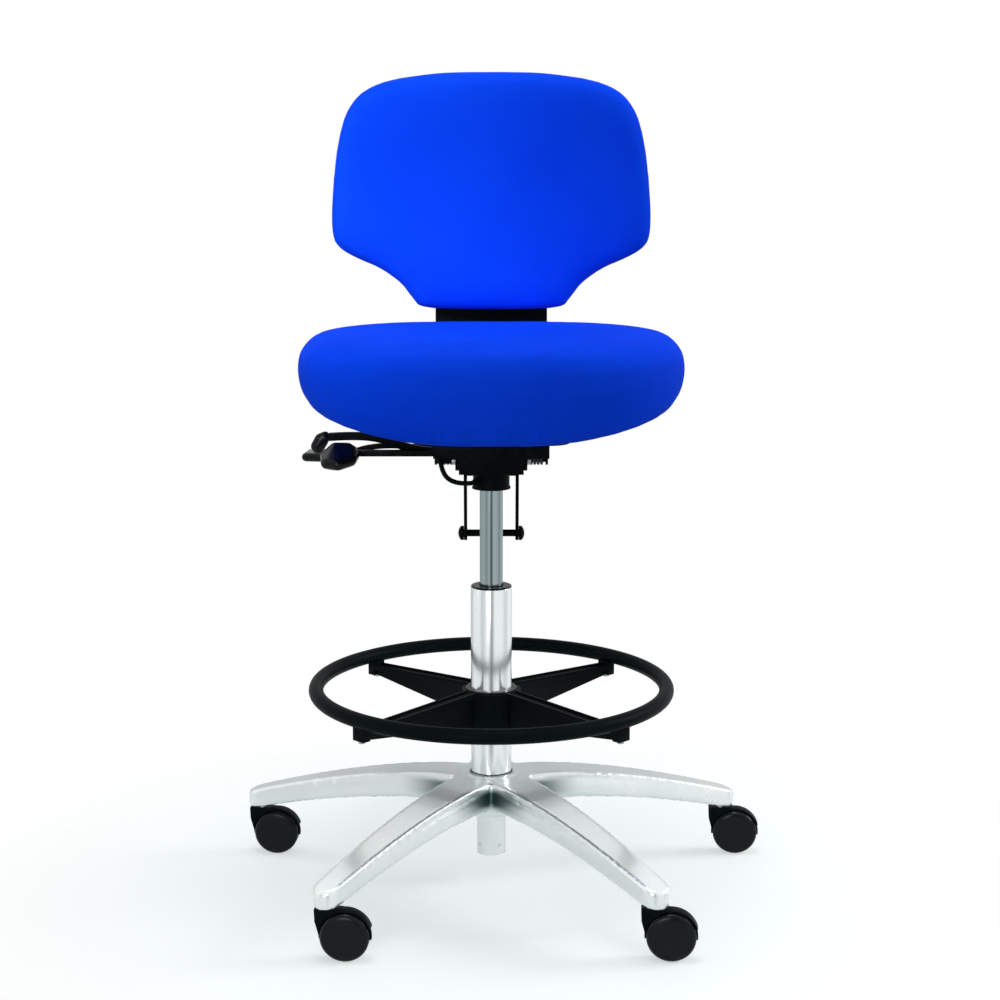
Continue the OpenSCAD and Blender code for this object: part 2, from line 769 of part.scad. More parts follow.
module ring_screws() {
    color(steel) for (k = [0:spoke_count - 1]) rotate([0, 0, 45 + 360 * k / spoke_count])
        translate([ring_screw_at_r, 0, spoke_tip_low_z]) {
            cylinder(r = ring_screw_r, h = ring_z - spoke_tip_low_z - seat_gap);
            translate([0, 0, -ring_screw_head_h - fit_gap])
                cylinder(r = ring_screw_head_r, h = ring_screw_head_h);
            translate([0, 0, -ring_screw_head_h / 2]) cylinder(r = ring_screw_r, h = ring_screw_head_h);
        }
}
module clamp_knob() {
    color(black) rotate([0, 0, knob_angle]) translate([0, 0, knob_z]) {
        pin_x(spindle_r, ring_bush_r + seat_gap, knob_in);
        pin_x(knob_core_r, knob_in - knob_h / 2 + seat_gap, knob_in + seat_gap);
        translate([knob_in, 0, 0]) rotate([0, 90, 0]) linear_extrude(knob_h) union() {
            circle(knob_r - knob_lobe_r / 2);
            for (k = [0:knob_lobes - 1]) rotate(360 * (k + 0.5) / knob_lobes)
                translate([knob_r - knob_lobe_r, 0]) circle(knob_lobe_r);
        }
    }
}

// Control
module control_housing() {
    color(black) difference() {
        union() {
            difference() {
                block([-box_half_w, box_front_y, box_low_z], [box_half_w, box_back_y, box_top_z]);
                block([box_wall - box_half_w, box_front_y + box_wall, box_low_z + box_floor_t],
                      [box_half_w - box_wall, box_back_y + overrun, box_top_z + overrun]);
            }
            translate([0, 0, boss_z]) cylinder(r = boss_r, h = boss_top_z - boss_z);
            translate([0, 0, boss_z]) cylinder(r = boss_lip_r, h = boss_lip_h);
            rotate([0, 0, boss_gland_angle]) translate([0, 0, boss_gland_z])
                pin_x(gland_r, boss_r - box_wall, norm([cable_end[0], cable_end[1]]));
        }
        rotate_extrude() polygon([
            [0, boss_z - overrun], [gas_r + fit_gap, boss_z - overrun], [gas_r + fit_gap, boss_z],
            [gas_taper_r + fit_gap, boss_top_z], [gas_taper_r + fit_gap, boss_top_z + overrun],
            [0, boss_top_z + overrun]
        ]);
        translate([0, tilt_y, tilt_z]) pin_x(tilt_r + fit_gap, -box_half_w - overrun, box_half_w + overrun);
        block([-box_half_w - overrun, bracket_front_y + bracket_t, notch_low_z],
              [box_wall - box_half_w + overrun, box_back_y + overrun, box_top_z + overrun]);
    }
}
cable_end = cable_route[len(cable_route) - 1];
module tilt_shaft() {
    color(steel) translate([0, tilt_y, tilt_z])
        pin_x(tilt_r, -ear_in - 2 * ear_t, ear_in + 2 * ear_t);
}
module lever_bracket() {
    color(black) difference() {
        union() {
            block([bracket_out_x, bracket_front_y, bracket_floor_z],
                  [-box_half_w, bracket_back_y, bracket_floor_z + bracket_t]);
            block([-box_half_w - bracket_t, bracket_front_y, bracket_low_z],
                  [-box_half_w, box_back_y, bracket_floor_z + bracket_t]);
            for (y = [bracket_front_y, bracket_back_y - bracket_t])
                block([bracket_out_x, y, bracket_floor_z], [-box_half_w, y + bracket_t, bracket_top_z]);
            translate([gland_x, 0, gland_z])
                pin_y(gland_r, cable_route[0][1], bracket_front_y + bracket_t / 2);
        }
        translate([lever_x, 0, lever_z])
            pin_y(pivot_r + fit_gap, bracket_front_y - overrun, bracket_back_y + overrun);
    }
}
module lever_pivot_pin() {
    color(steel) translate([lever_x, 0, lever_z]) pin_y(pivot_r, bracket_front_y, bracket_back_y);
}
module control_cable() {
    last = len(cable_route) - 1;
    smooth = concat(
        [for (k = [0:last - 1], s = [0:cable_steps - 1])
            spline(cable_route[max(k - 1, 0)], cable_route[k], cable_route[k + 1],
                   cable_route[min(k + 2, last)], s / cable_steps)],
        [cable_route[last]]
    );
    color(black) swept(smooth, cable_d / 2, cable_sides);
}

// Levers: the hubs share the pivot pin, the arms reach out under the seat
arm_steps = 4;
function arm_middle(p) =
    let (last = len(p) - 1)
    concat(
        [for (k = [0:last - 1], s = [0:arm_steps - 1])
            spline(p[max(k - 1, 0)], p[k], p[k + 1], p[min(k + 2, last)], s / arm_steps)],
        [p[last]]
    );
// Outline of a bent bar of height h: its ends are cut upright, to meet what they join
function bar_outline(m, h) =
    let (last = len(m) - 1,
         up = [for (k = [0:last])
             let (way = m[min(k + 1, last)] - m[max(k - 1, 0)])
             k == 0 || k == last ? [0, h / 2] : unit([way[1], -way[0]]) * h / 2])
    concat([for (k = [0:last]) m[k] + up[k]], [for (k = [last:-1:0]) m[k] - up[k]]);
hub_front_y = bracket_front_y + bracket_t + lever_hub_gap;
hub_split_1_y = (height_y + seat_lever_y) / 2;
hub_split_2_y = (seat_lever_y + back_lever_y) / 2;
hub_back_y = bracket_back_y - bracket_t - lever_hub_gap;
module lever_arm(y, t, from, to, outline) {
    difference() {
        union() {
            translate([0, y + t / 2, 0]) rotate([90, 0, 0]) linear_extrude(t) polygon(outline);
            translate([lever_x, 0, lever_z]) pin_y(lever_hub_r, from, to);
        }
        translate([lever_x, 0, lever_z]) pin_y(pivot_r + run_gap, from - overrun, to + overrun);
    }
}
bar_low_z = lever_z - bar_h / 2;
bar_top_z = lever_z + bar_h / 2;
height_in_x = 4;
height_out_x = -160;
module height_lever() {
    color(black) lever_arm(height_y, arm_t, hub_front_y, hub_split_1_y - lever_hub_gap, [
        [height_in_x, bar_low_z], [height_in_x, bar_top_z], [height_out_x, bar_top_z], [height_out_x, bar_low_z]
    ]);
}
lever_in_x = -32;
seat_arm_end_x = -196;
seat_arm_end_z = 552;
seat_arm_h = 9;
seat_arm_points = [
    [lever_in_x, lever_z], [-75, 535], [-103, 540], [-128, 548.5], [-150, 552.5], [-175, 553],
    [seat_arm_end_x, seat_arm_end_z]
];
module seat_lever() {
    color(black) lever_arm(seat_lever_y, arm_t, hub_split_1_y, hub_split_2_y - lever_hub_gap,
                           bar_outline(arm_middle(seat_arm_points), seat_arm_h));
}
back_arm_end_x = -200;
back_arm_end_z = 524.5;
back_arm_h = 6;
back_arm_points = [
    [lever_in_x, lever_z], [-80, 537], [-120, 539.5], [-150, 537], [-178, 529], [back_arm_end_x, back_arm_end_z]
];
module back_lever() {
    color(black) lever_arm(back_lever_y, thin_arm_t, hub_split_2_y, hub_back_y,
                           bar_outline(arm_middle(back_arm_points), back_arm_h));
}
// Paddles: rounded grips, each the hull of balls at named places, seated on its arm's end
ball_faces = 24;
paddle_r = 7;
height_paddle_points = [
    [-163, 0, 534.5], [-172, -1, 540.5], [-187, -3, 541], [-197, -24, 533.5], [-194, -46, 529],
    [-180, -54, 528.5], [-166, -38, 531]
];
module height_paddle() {
    color(black) difference() {
        hull() for (p = height_paddle_points) translate(p) sphere(paddle_r, $fn = ball_faces);
        block([height_out_x - fit_gap, height_y - arm_t, bar_low_z - arm_t],
              [0, height_y + arm_t, bar_top_z + arm_t]);
    }
}
seat_paddle_points = [[-200, 14.5, 552], [-206, 14.5, 549.5], [-211, 14.5, 540.5], [-209, 15, 538]];
module seat_paddle() {
    color(black) difference() {
        hull() for (p = seat_paddle_points) translate(p) sphere(paddle_r, $fn = ball_faces);
        block([seat_arm_end_x - fit_gap, seat_lever_y - arm_t, bar_low_z],
              [0, seat_lever_y + arm_t, seat_top_z]);
    }
}
back_paddle_r = 5.5;
back_paddle_points = [[-204, 30, 524.5], [-226, 40, 523.5], [-224, 84, 521.5], [-202, 86, 521.5]];
module back_paddle() {
    color(black) difference() {
        hull() for (p = back_paddle_points) translate(p) sphere(back_paddle_r, $fn = ball_faces);
        block([back_arm_end_x - fit_gap, back_lever_y - arm_t, shaft_z - arm_t],
              [0, back_lever_y + arm_t, bar_top_z + arm_t]);
    }
}

// Seat
module ear(y, z, r) {
    mirror_x() difference() {
        union() {
            translate([0, y, z]) pin_x(ear_r, ear_in, ear_in + ear_t);
            block([ear_in, y - ear_r, z], [ear_in + ear_t, y + ear_r, plate_z + plate_t / 2]);
        }
        translate([0, y, z]) pin_x(r, ear_in - overrun, ear_in + ear_t + overrun);
    }
}
module seat_screw_places() {
    for (x = [-seat_screw_x, seat_screw_x], y = [-seat_screw_y, seat_screw_y])
        translate([x, y, 0]) children();
}
module seat_plate() {
    color(black) {
        difference() {
            union() {
                block([-plate_half_w, plate_front_y, plate_z], [plate_half_w, plate_back_y, plate_z + plate_t]);
                block([-plate_half_w, plate_front_y, plate_z - plate_lip_h],
                      [plate_half_w, plate_front_y + plate_t, plate_z + plate_t]);
            }
            translate([0, 0, plate_z - overrun]) seat_screw_places()
                cylinder(r = seat_screw_r + fit_gap, h = plate_t + 2 * overrun);
        }
        ear(tilt_y, tilt_z, tilt_r + run_gap);
        ear(main_y, shaft_z, main_r + fit_gap);
    }
}
module seat_board() {
    color(black) difference() {
        translate([0, 0, board_z]) linear_extrude(board_t) union() {
            for (x = [-1, 1], y = [board_front_y + board_corner_r, board_back_y - board_corner_r])
                translate([x * (board_half_w - board_corner_r), y]) circle(board_corner_r);
            translate([board_corner_r - board_half_w, board_front_y])
                square([2 * (board_half_w - board_corner_r), board_back_y - board_front_y]);
            translate([-board_half_w, board_front_y + board_corner_r])
                square([2 * board_half_w, board_back_y - board_front_y - 2 * board_corner_r]);
        }
        translate([0, 0, board_z - overrun]) seat_screw_places()
            cylinder(r = seat_screw_r + fit_gap, h = seat_screw_grip + overrun + seat_gap);
    }
}
module seat_screws() {
    color(steel) translate([0, 0, plate_z]) seat_screw_places() {
        cylinder(r = seat_screw_r, h = plate_t + seat_screw_grip);
        translate([0, 0, -seat_screw_head_h]) cylinder(r = seat_screw_head_r, h = seat_screw_head_h);
    }
}
function seat_low(x) =
    let (share = max(abs(x) - seat_flat_half, 0) / (seat_w / 2 - seat_flat_half))
    seat_low_z + seat_side_rise * pow(share, seat_rise_power);
function round_power(v, p) = sign(v) * pow(abs(v), 2 / p);
function seat_point(j, s, h) =
    let (a = 360 * j / seat_points, x = s * seat_w / 2 * round_power(cos(a), seat_corner_power),
         y = seat_mid_y + s * seat_d / 2 * round_power(sin(a), seat_corner_power), low = seat_low(x))
    [x, y, low + (seat_top_z - low) * h];
module seat_cushion() {
    rings = len(seat_ring_shares);
    points = concat(
        [[0, seat_mid_y, seat_low_z]],
        [for (ring = seat_ring_shares, j = [0:seat_points - 1]) seat_point(j, ring[0], ring[1])],
        [[0, seat_mid_y, seat_low_z + (seat_top_z - seat_low_z) * seat_middle_share]]
    );
    color(blue) polyhedron(points, skin_faces(rings, seat_points));
}

// Springs: one unbroken wire each, its ends turned along the shaft to meet the ear and the cap
function spring_point(k) =
    let (turn = 360 * k / spring_rings)
    [spring_start + spring_wire + spring_pitch * k / spring_rings, spring_r * cos(turn), spring_r * sin(turn)];
spring_count = spring_curls * spring_rings;
spring_first = spring_point(0);
spring_last = spring_point(spring_count);
spring_path = concat(
    [[spring_start, spring_first[1], spring_first[2]],
     [spring_start + spring_wire / 2, spring_first[1], spring_first[2]]],
    [for (k = [1:spring_count - 1]) spring_point(k)],
    [[spring_last[0] + spring_wire / 2, spring_last[1], spring_last[2]],
     [spring_start + spring_len, spring_last[1], spring_last[2]]]
);
spring_self_gap = min([
    for (a = [0:len(spring_path) - 1], b = [a + spring_rings / 2:len(spring_path) - 1])
        norm(spring_path[a] - spring_path[b])
]) - spring_wire;
echo(least_gap_of_a_spring_to_itself = spring_self_gap);
module torsion_springs() {
    color(steel) mirror_x() translate([0, main_y, shaft_z]) swept(spring_path, spring_wire / 2, spring_sides);
}
module main_shaft() {
    color(steel) translate([0, main_y, shaft_z]) {
        pin_x(main_r, -cap_in, cap_in);
        mirror_x() pin_x(cap_r, cap_in, cap_in + cap_t);
    }
}

// Back carrier
module carrier_arms() {
    color(black) mirror_x() difference() {
        union() {
            translate([arm_in, 0, 0]) rotate([90, 0, 90]) linear_extrude(carrier_t) union() {
                translate([main_y, shaft_z]) circle(eye_r);
                translate([bolt_y, bolt_z]) circle(low_eye_r);
                polygon([
                    [main_y - arm_root_half, shaft_z], [main_y + arm_root_half, shaft_z],
                    [bolt_y + arm_tip_half, bolt_z], [bolt_y - arm_tip_half, bolt_z]
                ]);
                polygon([
                    [main_y, shaft_z + arm_tip_half], [tab_back_y, tab_top_z],
                    [tab_back_y, tab_low_z], [main_y + arm_tip_half, tab_low_z]
                ]);
            }
            translate([0, main_y, shaft_z]) pin_x(arm_bush_r, arm_in, ear_in - seat_gap);
        }
        translate([0, main_y, shaft_z]) pin_x(main_r + run_gap, arm_in - overrun, ear_in + overrun);
        translate([0, bolt_y, bolt_z]) pin_x(bolt_r + fit_gap, arm_in - overrun, arm_in + 2 * carrier_t);
        for (y = [carrier_bolt_front, carrier_bolt_back]) translate([0, y, carrier_bolt_z])
            pin_x(carrier_bolt_r + fit_gap, arm_in - overrun, arm_in + 2 * carrier_t);
    }
}
module carrier_bolts() {
    end = arm_in + carrier_t;
    color(steel) for (y = [carrier_bolt_front, carrier_bolt_back]) translate([0, y, carrier_bolt_z]) {
        pin_x(carrier_bolt_r, -end - seat_gap, end + seat_gap);
        mirror_x() pin_x(carrier_bolt_head_r, end + fit_gap, end + carrier_bolt_head_h);
    }
}
module cross_bolt() {
    end = arm_in + carrier_t + bolt_washer_gap;
    color(black) translate([0, bolt_y, bolt_z]) {
        pin_x(bolt_r, -end - bolt_cap_h / 2, end + bolt_cap_h / 2);
        mirror_x() translate([end, 0, 0]) rotate([0, 90, 0]) intersection() {
            cylinder(r = bolt_cap_r, h = bolt_cap_h);
            translate([0, 0, bolt_cap_h - bolt_dome_r]) sphere(bolt_dome_r);
        }
    }
}
module upright_side() {
    mid_y = upright_y + upright_t - bend_r;
    mid_z = tongue_z + bend_r;
    translate([block_back_y - overrun, tongue_z]) square([mid_y - block_back_y + overrun, upright_t]);
    translate([block_front_y, block_low_z]) square([block_back_y - block_front_y, block_top_z - block_low_z]);
    translate([upright_y, mid_z]) square([upright_t, upright_top_z - mid_z]);
    intersection() {
        translate([mid_y, mid_z]) difference() {
            circle(bend_r);
            circle(bend_r - upright_t);
        }
        translate([mid_y, mid_z - bend_r]) square(bend_r);
    }
}
module back_upright() {
    color(black) difference() {
        intersection() {
            across_x(upright_w) upright_side();
            translate([0, upright_y + bend_r, 0]) rotate([90, 0, 0]) linear_extrude(upright_y + bend_r)
                polygon([
                    [-block_half_w, block_low_z], [block_half_w, block_low_z], [block_half_w, neck_low_z],
                    [upright_w / 2, neck_top_z], [upright_w / 2, upright_top_z - upright_corner],
                    [upright_w / 2 - upright_corner, upright_top_z],
                    [upright_corner - upright_w / 2, upright_top_z],
                    [-upright_w / 2, upright_top_z - upright_corner], [-upright_w / 2, neck_top_z],
                    [-block_half_w, neck_low_z]
                ]);
        }
        for (y = [carrier_bolt_front, carrier_bolt_back]) translate([0, y, carrier_bolt_z])
            pin_x(carrier_bolt_r + fit_gap, -arm_in - overrun, arm_in + overrun);
    }
}

// Back: the outline is a smooth closed curve through the shares and their mirror image
back_right = [for (s = back_outline_shares) [s[0] * back_w / 2, back_z + s[1] * back_h]];
back_count = len(back_right);
back_corners = concat(back_right, [for (k = [back_count - 1:-1:0]) [-back_right[k][0], back_right[k][1]]]);
back_outline = [
    for (k = [0:2 * back_count - 1], s = [0:outline_steps - 1])
        let (n = 2 * back_count)
        spline(back_corners[(k + n - 1) % n], back_corners[k], back_corners[(k + 1) % n],
               back_corners[(k + 2) % n], s / outline_steps)
];
back_points = len(back_outline);
function wrap(x) = back_wrap * pow(max(abs(x) - back_flat_half, 0) / (back_w / 2 - back_flat_half), 2);
function back_point(j, s, y) =
    let (x = s * back_outline[j][0])
    [x, y - wrap(x), back_mid_z + s * (back_outline[j][1] - back_mid_z)];
module back_cushion() {
    rings = concat([for (share = shell_ring_shares) [share, 0]], back_ring_shares);
    points = concat(
        [[0, pad_rear_y, back_mid_z]],
        [for (ring = rings, j = [0:back_points - 1])
            back_point(j, ring[0], pad_rear_y - ring[1] * back_t)],
        [[0, pad_rear_y - back_t, back_mid_z]]
    );
    color(blue) polyhedron(points, skin_faces(len(rings), back_points));
}
module back_screw_places() {
    for (x = [-back_screw_x, back_screw_x], z = [back_screw_low_z, back_screw_top_z])
        translate([x, 0, z]) children();
}
module back_shell() {
    last = len(shell_ring_shares) - 1;
    rings = concat(
        [for (share = shell_ring_shares) [share, 1]],
        [for (k = [last:-1:0]) [shell_ring_shares[k], 0]]
    );
    points = concat(
        [[0, shell_y + shell_t, back_mid_z]],
        [for (ring = rings, j = [0:back_points - 1]) back_point(j, ring[0], shell_y + ring[1] * shell_t)],
        [[0, shell_y, back_mid_z]]
    );
    color(black) difference() {
        polyhedron(points, skin_faces(len(rings), back_points));
        back_screw_places()
            pin_y(back_screw_r + fit_gap, slider_y - back_screw_in - seat_gap, slider_y + overrun);
    }
}
module back_slider() {
    in_half = upright_w / 2 + seat_gap;
    back_y = upright_y + upright_t + seat_gap;
    color(black) difference() {
        union() {
            block([-slider_half_w, slider_y, slider_low_z],
                  [slider_half_w, slider_y + slider_t, slider_top_z]);
            mirror_x() block([in_half, slider_y, slider_low_z],
                             [slider_half_w, back_y + slider_lip_t, slider_top_z]);
            mirror_x() block([slider_half_w - slider_lip_w, back_y, slider_low_z],
                             [slider_half_w, back_y + slider_lip_t, slider_top_z]);
            translate([lug_x, 0, lug_z]) pin_y(lug_r, slider_y, slider_y + lug_t);
            block([lug_x, slider_y, lug_z - lug_r], [-in_half, slider_y + lug_t, lug_z + lug_r]);
            translate([lug_x, 0, lug_z]) pin_y(stud_r, slider_y, slider_y + lug_t + latch_t + 2 * latch_gap);
        }
        back_screw_places() {
            pin_y(back_screw_r + fit_gap, slider_y - overrun, slider_y + slider_t + overrun);
            translate([0, slider_y + slider_t - back_screw_cone_h, 0]) rotate([-90, 0, 0])
                cylinder(r1 = back_screw_r + fit_gap, r2 = back_screw_head_r + fit_gap,
                         h = back_screw_cone_h);
        }
    }
}
module back_screws() {
    color(steel) back_screw_places() {
        pin_y(back_screw_r, slider_y - back_screw_in, slider_y + slider_t - back_screw_cone_h);
        translate([0, slider_y + slider_t - back_screw_cone_h, 0]) rotate([-90, 0, 0])
            cylinder(r1 = back_screw_r, r2 = back_screw_head_r, h = back_screw_cone_h);
    }
}
module back_height_lever() {
    from = slider_y + lug_t + latch_gap;
    color(black) difference() {
        union() {
            translate([lug_x, 0, lug_z]) pin_y(latch_hub_r, from, from + latch_t);
            translate([0, from + latch_t, 0]) rotate([90, 0, 0]) linear_extrude(latch_t) polygon([
                [lug_x, lug_z - latch_hub_r], [lug_x - latch_hub_r, lug_z],
                [latch_root_x - latch_hub_r, latch_root_z], [latch_tip_x, latch_tip_z],
                [latch_low_x, latch_low_z], [latch_root_x, latch_root_z - latch_hub_r]
            ]);
        }
        translate([lug_x, 0, lug_z]) pin_y(stud_r + run_gap, from - overrun, from + latch_t + overrun);
    }
}

base_star();
stand_tube();
guide_bush();
thrust_bearing();
caster_stems();
for (i = [0:leg_count - 1]) {
    at_caster(i) caster_hood();
    at_caster(i) caster_axle();
    at_caster(i) mirror([0, 1, 0]) caster_wheel();
    at_caster(i) caster_wheel();
}
piston_rod();
rod_clip();
gas_cylinder();
release_pin();
control_housing();
tilt_shaft();
lever_bracket();
lever_pivot_pin();
control_cable();
height_lever();
height_paddle();
seat_lever();
seat_paddle();
back_lever();
back_paddle();
seat_plate();
seat_board();
seat_cushion();
seat_screws();
main_shaft();
torsion_springs();
carrier_arms();
carrier_bolts();
cross_bolt();
back_upright();
back_slider();
back_shell();
back_cushion();
back_screws();
back_height_lever();
ring_hoop();
ring_spider();
ring_bush();
ring_screws();
clamp_knob();
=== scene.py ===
"""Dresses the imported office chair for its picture: cushions, castings, mouldings, finishes, studio."""

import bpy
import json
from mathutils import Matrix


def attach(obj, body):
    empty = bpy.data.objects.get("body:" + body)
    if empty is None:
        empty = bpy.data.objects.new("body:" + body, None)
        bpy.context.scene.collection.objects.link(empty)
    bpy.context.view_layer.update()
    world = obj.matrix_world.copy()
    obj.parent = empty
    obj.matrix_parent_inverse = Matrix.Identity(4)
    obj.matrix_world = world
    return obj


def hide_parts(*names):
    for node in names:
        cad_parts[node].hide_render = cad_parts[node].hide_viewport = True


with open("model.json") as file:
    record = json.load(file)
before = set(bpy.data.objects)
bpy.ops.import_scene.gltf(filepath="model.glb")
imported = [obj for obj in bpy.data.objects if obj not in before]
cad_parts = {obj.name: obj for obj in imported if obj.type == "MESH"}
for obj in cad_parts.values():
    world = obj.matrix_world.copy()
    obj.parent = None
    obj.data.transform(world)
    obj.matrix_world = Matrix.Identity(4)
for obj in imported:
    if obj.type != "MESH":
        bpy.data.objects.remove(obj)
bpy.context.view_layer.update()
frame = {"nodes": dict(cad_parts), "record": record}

import json
import logging
import math
from collections.abc import Iterator, Sequence
from contextlib import contextmanager
from dataclasses import dataclass
from enum import Enum

import bpy
from mathutils import Matrix, Vector

log = logging.getLogger("office_chair")

MM = 0.001
MERGE = 0.01 * MM
RELIEF_DEPTH = 0.2 * MM
FIRST_VOXEL = 1.5
CORNER_SHARE = 0.45
FLAT_ANGLE = 0.5
SOFT_ANGLE = 35.0
TURNED_ANGLE = 40.0
LEG_PLACES = ("rear", "left", "front_left", "front_right", "right")
Material = bpy.types.Material
NodeTree = bpy.types.NodeTree
Piece = bpy.types.Object
Socket = bpy.types.NodeSocket
Colour = tuple[float, float, float]
Point = tuple[float, float, float]
Span = tuple[float, float]
Profile = Sequence[Span]
Palette = dict[str, Material]


def linear(red: float, green: float, blue: float) -> Colour:
    """Turns a colour of 0 to 255 as a screen shows it into Blender's linear colour."""
    shares = (red / 255, green / 255, blue / 255)
    return tuple(s / 12.92 if s <= 0.04045 else ((s + 0.055) / 1.055) ** 2.4 for s in shares)


# Shader node groups that several finishes share

class NodeBoard:
    """Adds and joins nodes in one node tree."""

    def __init__(self, tree: NodeTree) -> None:
        """Keeps the tree that the nodes go into."""
        self.tree = tree

    def add(self, kind: str, **settings: object) -> bpy.types.Node:
        """Adds a node.

        Args:
            kind: Blender's name of the node type.
            settings: Attributes of the node, or values of its inputs written as in_Name.

        Returns:
            The new node.
        """
        node = self.tree.nodes.new(kind)
        for name, value in settings.items():
            if name.startswith("in_"):
                node.inputs[name[3:].replace("_", " ")].default_value = value
            else:
                setattr(node, name, value)
        return node

    def join(self, source: object, target: Socket) -> None:
        """Gives an input another socket's result or a plain value.

        Args:
            source: The socket or the value.
            target: The input.
        """
        if isinstance(source, Socket):
            self.tree.links.new(source, target)
        else:
            target.default_value = source

    def math(self, operation: str, *values: object, clamp: bool = False) -> Socket:
        """Adds a math node.

        Args:
            operation: Blender's name of the operation.
            values: A socket or a number for each of its inputs.
            clamp: Keeps the result between 0 and 1.

        Returns:
            The result's socket.
        """
        node = self.add("ShaderNodeMath", operation=operation, use_clamp=clamp)
        for value, target in zip(values, node.inputs):
            self.join(value, target)
        return node.outputs[0]

    def noise(self, where: Socket, scale: object, detail: float, roughness: float = 0.5) -> Socket:
        """Adds a noise texture.

        Args:
            where: Socket of the place.
            scale: Its scale, a socket or a number.
            detail: How many octaves it has.
            roughness: How much the finer octaves count.

        Returns:
            The noise's socket.
        """
        node = self.add("ShaderNodeTexNoise", in_Detail=detail, in_Roughness=roughness)
        self.join(where, node.inputs["Vector"])
        self.join(scale, node.inputs["Scale"])
        return node.outputs["Fac"]

    def ease(self, value: Socket, ends: Span) -> Socket:
        """Turns a value into a smooth step.

        Args:
            value: The value's socket.
            ends: Where the step is 0 and where it is 1.

        Returns:
            The step's socket.
        """
        step = self.add("ShaderNodeMapRange", interpolation_type="SMOOTHSTEP")
        step.inputs["From Min"].default_value, step.inputs["From Max"].default_value = ends
        self.join(value, step.inputs["Value"])
        return step.outputs["Result"]

    def tint(self, share: Socket, colour: Socket, other: Colour) -> Socket:
        """Mixes a plain colour into another.

        Args:
            share: Share of the plain colour.
            colour: The first colour's socket.
            other: The plain colour.

        Returns:
            The mixed colour's socket.
        """
        mix = self.add("ShaderNodeMix", data_type="RGBA")
        self.join(share, mix.inputs["Factor"])
        self.join(colour, mix.inputs["A"])
        mix.inputs["B"].default_value = (*other, 1.0)
        return mix.outputs["Result"]

    def choose(self, share: Socket, first: Socket, second: Socket) -> Socket:
        """Mixes two shaders.

        Args:
            share: Share of the second one.
            first: The first shader's socket.
            second: The second shader's socket.

        Returns:
            The mixed shader's socket.
        """
        mix = self.add("ShaderNodeMixShader")
        for socket, target in zip((share, first, second), mix.inputs):
            self.join(socket, target)
        return mix.outputs[0]


class Effect:
    """One shader node group, built once and placed in many materials."""

    def __init__(self, name: str, inputs: dict[str, float], outputs: tuple[str, ...]) -> None:
        """Makes the empty group with its sockets.

        Args:
            name: Name of the group.
            inputs: Names and first values of its inputs.
            outputs: Names of its outputs.
        """
        self.tree = bpy.data.node_groups.new(name, "ShaderNodeTree")
        self.tree.interface.new_socket("Vector", in_out="INPUT", socket_type="NodeSocketVector")
        for key, value in inputs.items():
            socket = self.tree.interface.new_socket(key, in_out="INPUT", socket_type="NodeSocketFloat")
            socket.default_value = value
        for key in outputs:
            self.tree.interface.new_socket(key, in_out="OUTPUT", socket_type="NodeSocketFloat")
        self.board = NodeBoard(self.tree)
        self.taken = self.board.add("NodeGroupInput").outputs
        self.given = self.board.add("NodeGroupOutput").inputs

    def noise(self, scale: object, detail: float, roughness: float = 0.5) -> Socket:
        """Adds a noise texture on the group's own coordinates, with the board's arguments."""
        return self.board.noise(self.taken["Vector"], scale, detail, roughness)

    def give(self, name: str, socket: Socket) -> None:
        """Joins a result to the group's output of that name."""
        self.board.join(socket, self.given[name])


def grain_effect() -> Effect:
    """Fine moulded or sprayed grain.

    Returns:
        The group, with a height and a broad patchiness.
    """
    effect = Effect("moulded_grain", {"Scale": 900.0, "Patch Scale": 9.0}, ("Height", "Patch"))
    fine_scale, cell_share, fine_share = 0.37, 0.6, 0.4
    board, taken = effect.board, effect.taken
    cells = board.add("ShaderNodeTexVoronoi", feature="SMOOTH_F1")
    board.join(taken["Vector"], cells.inputs["Vector"])
    board.join(taken["Scale"], cells.inputs["Scale"])
    fine = effect.noise(board.math("MULTIPLY", taken["Scale"], fine_scale), 3.0, 0.6)
    effect.give("Height", board.math("ADD", board.math("MULTIPLY", cells.outputs["Distance"], cell_share),
                                     board.math("MULTIPLY", fine, fine_share)))
    effect.give("Patch", effect.noise(taken["Patch Scale"], 4.0, 0.55))
    return effect


def weave_effect() -> Effect:
    """Plain weave of fine yarns, with slubs.

    Returns:
        The group, with the yarns' height, a mask of the gaps and a broad variation.
    """
    effect = Effect("plain_weave", {"Yarns": 620.0, "Slub Scale": 140.0}, ("Height", "Gap", "Drift"))
    lean_share, gap_below, drift_scale = 0.9, 0.2, 7.0
    board, count = effect.board, effect.taken["Yarns"]
    split = board.add("ShaderNodeSeparateXYZ")
    board.join(effect.taken["Vector"], split.inputs[0])
    x, y, z = split.outputs
    lean = board.math("MULTIPLY", effect.noise(effect.taken["Slub Scale"], 2.0), lean_share)
    across = board.math("ADD", x, y)
    along = board.math("ADD", z, board.math("SUBTRACT", y, x))
    warp, weft = (board.math("SINE", board.math("ADD", board.math("MULTIPLY", way, count), lean))
                  for way in (across, along))
    height = board.math("MULTIPLY_ADD", board.math("MULTIPLY", warp, weft), 0.5, 0.5)
    effect.give("Height", height)
    effect.give("Gap", board.math("LESS_THAN", height, gap_below))
    effect.give("Drift", effect.noise(drift_scale, 3.0))
    return effect


def brush_effect() -> Effect:
    """Fine marks of turning or drawing, stretched along one axis by the mapping before it.

    Returns:
        The group, with the marks' height and a smudge mask.
    """
    effect = Effect("drawn_marks", {"Scale": 60.0, "Smudge Scale": 14.0}, ("Height", "Smudge"))
    effect.give("Height", effect.noise(effect.taken["Scale"], 6.0, 0.7))
    effect.give("Smudge", effect.noise(effect.taken["Smudge Scale"], 5.0, 0.6))
    return effect


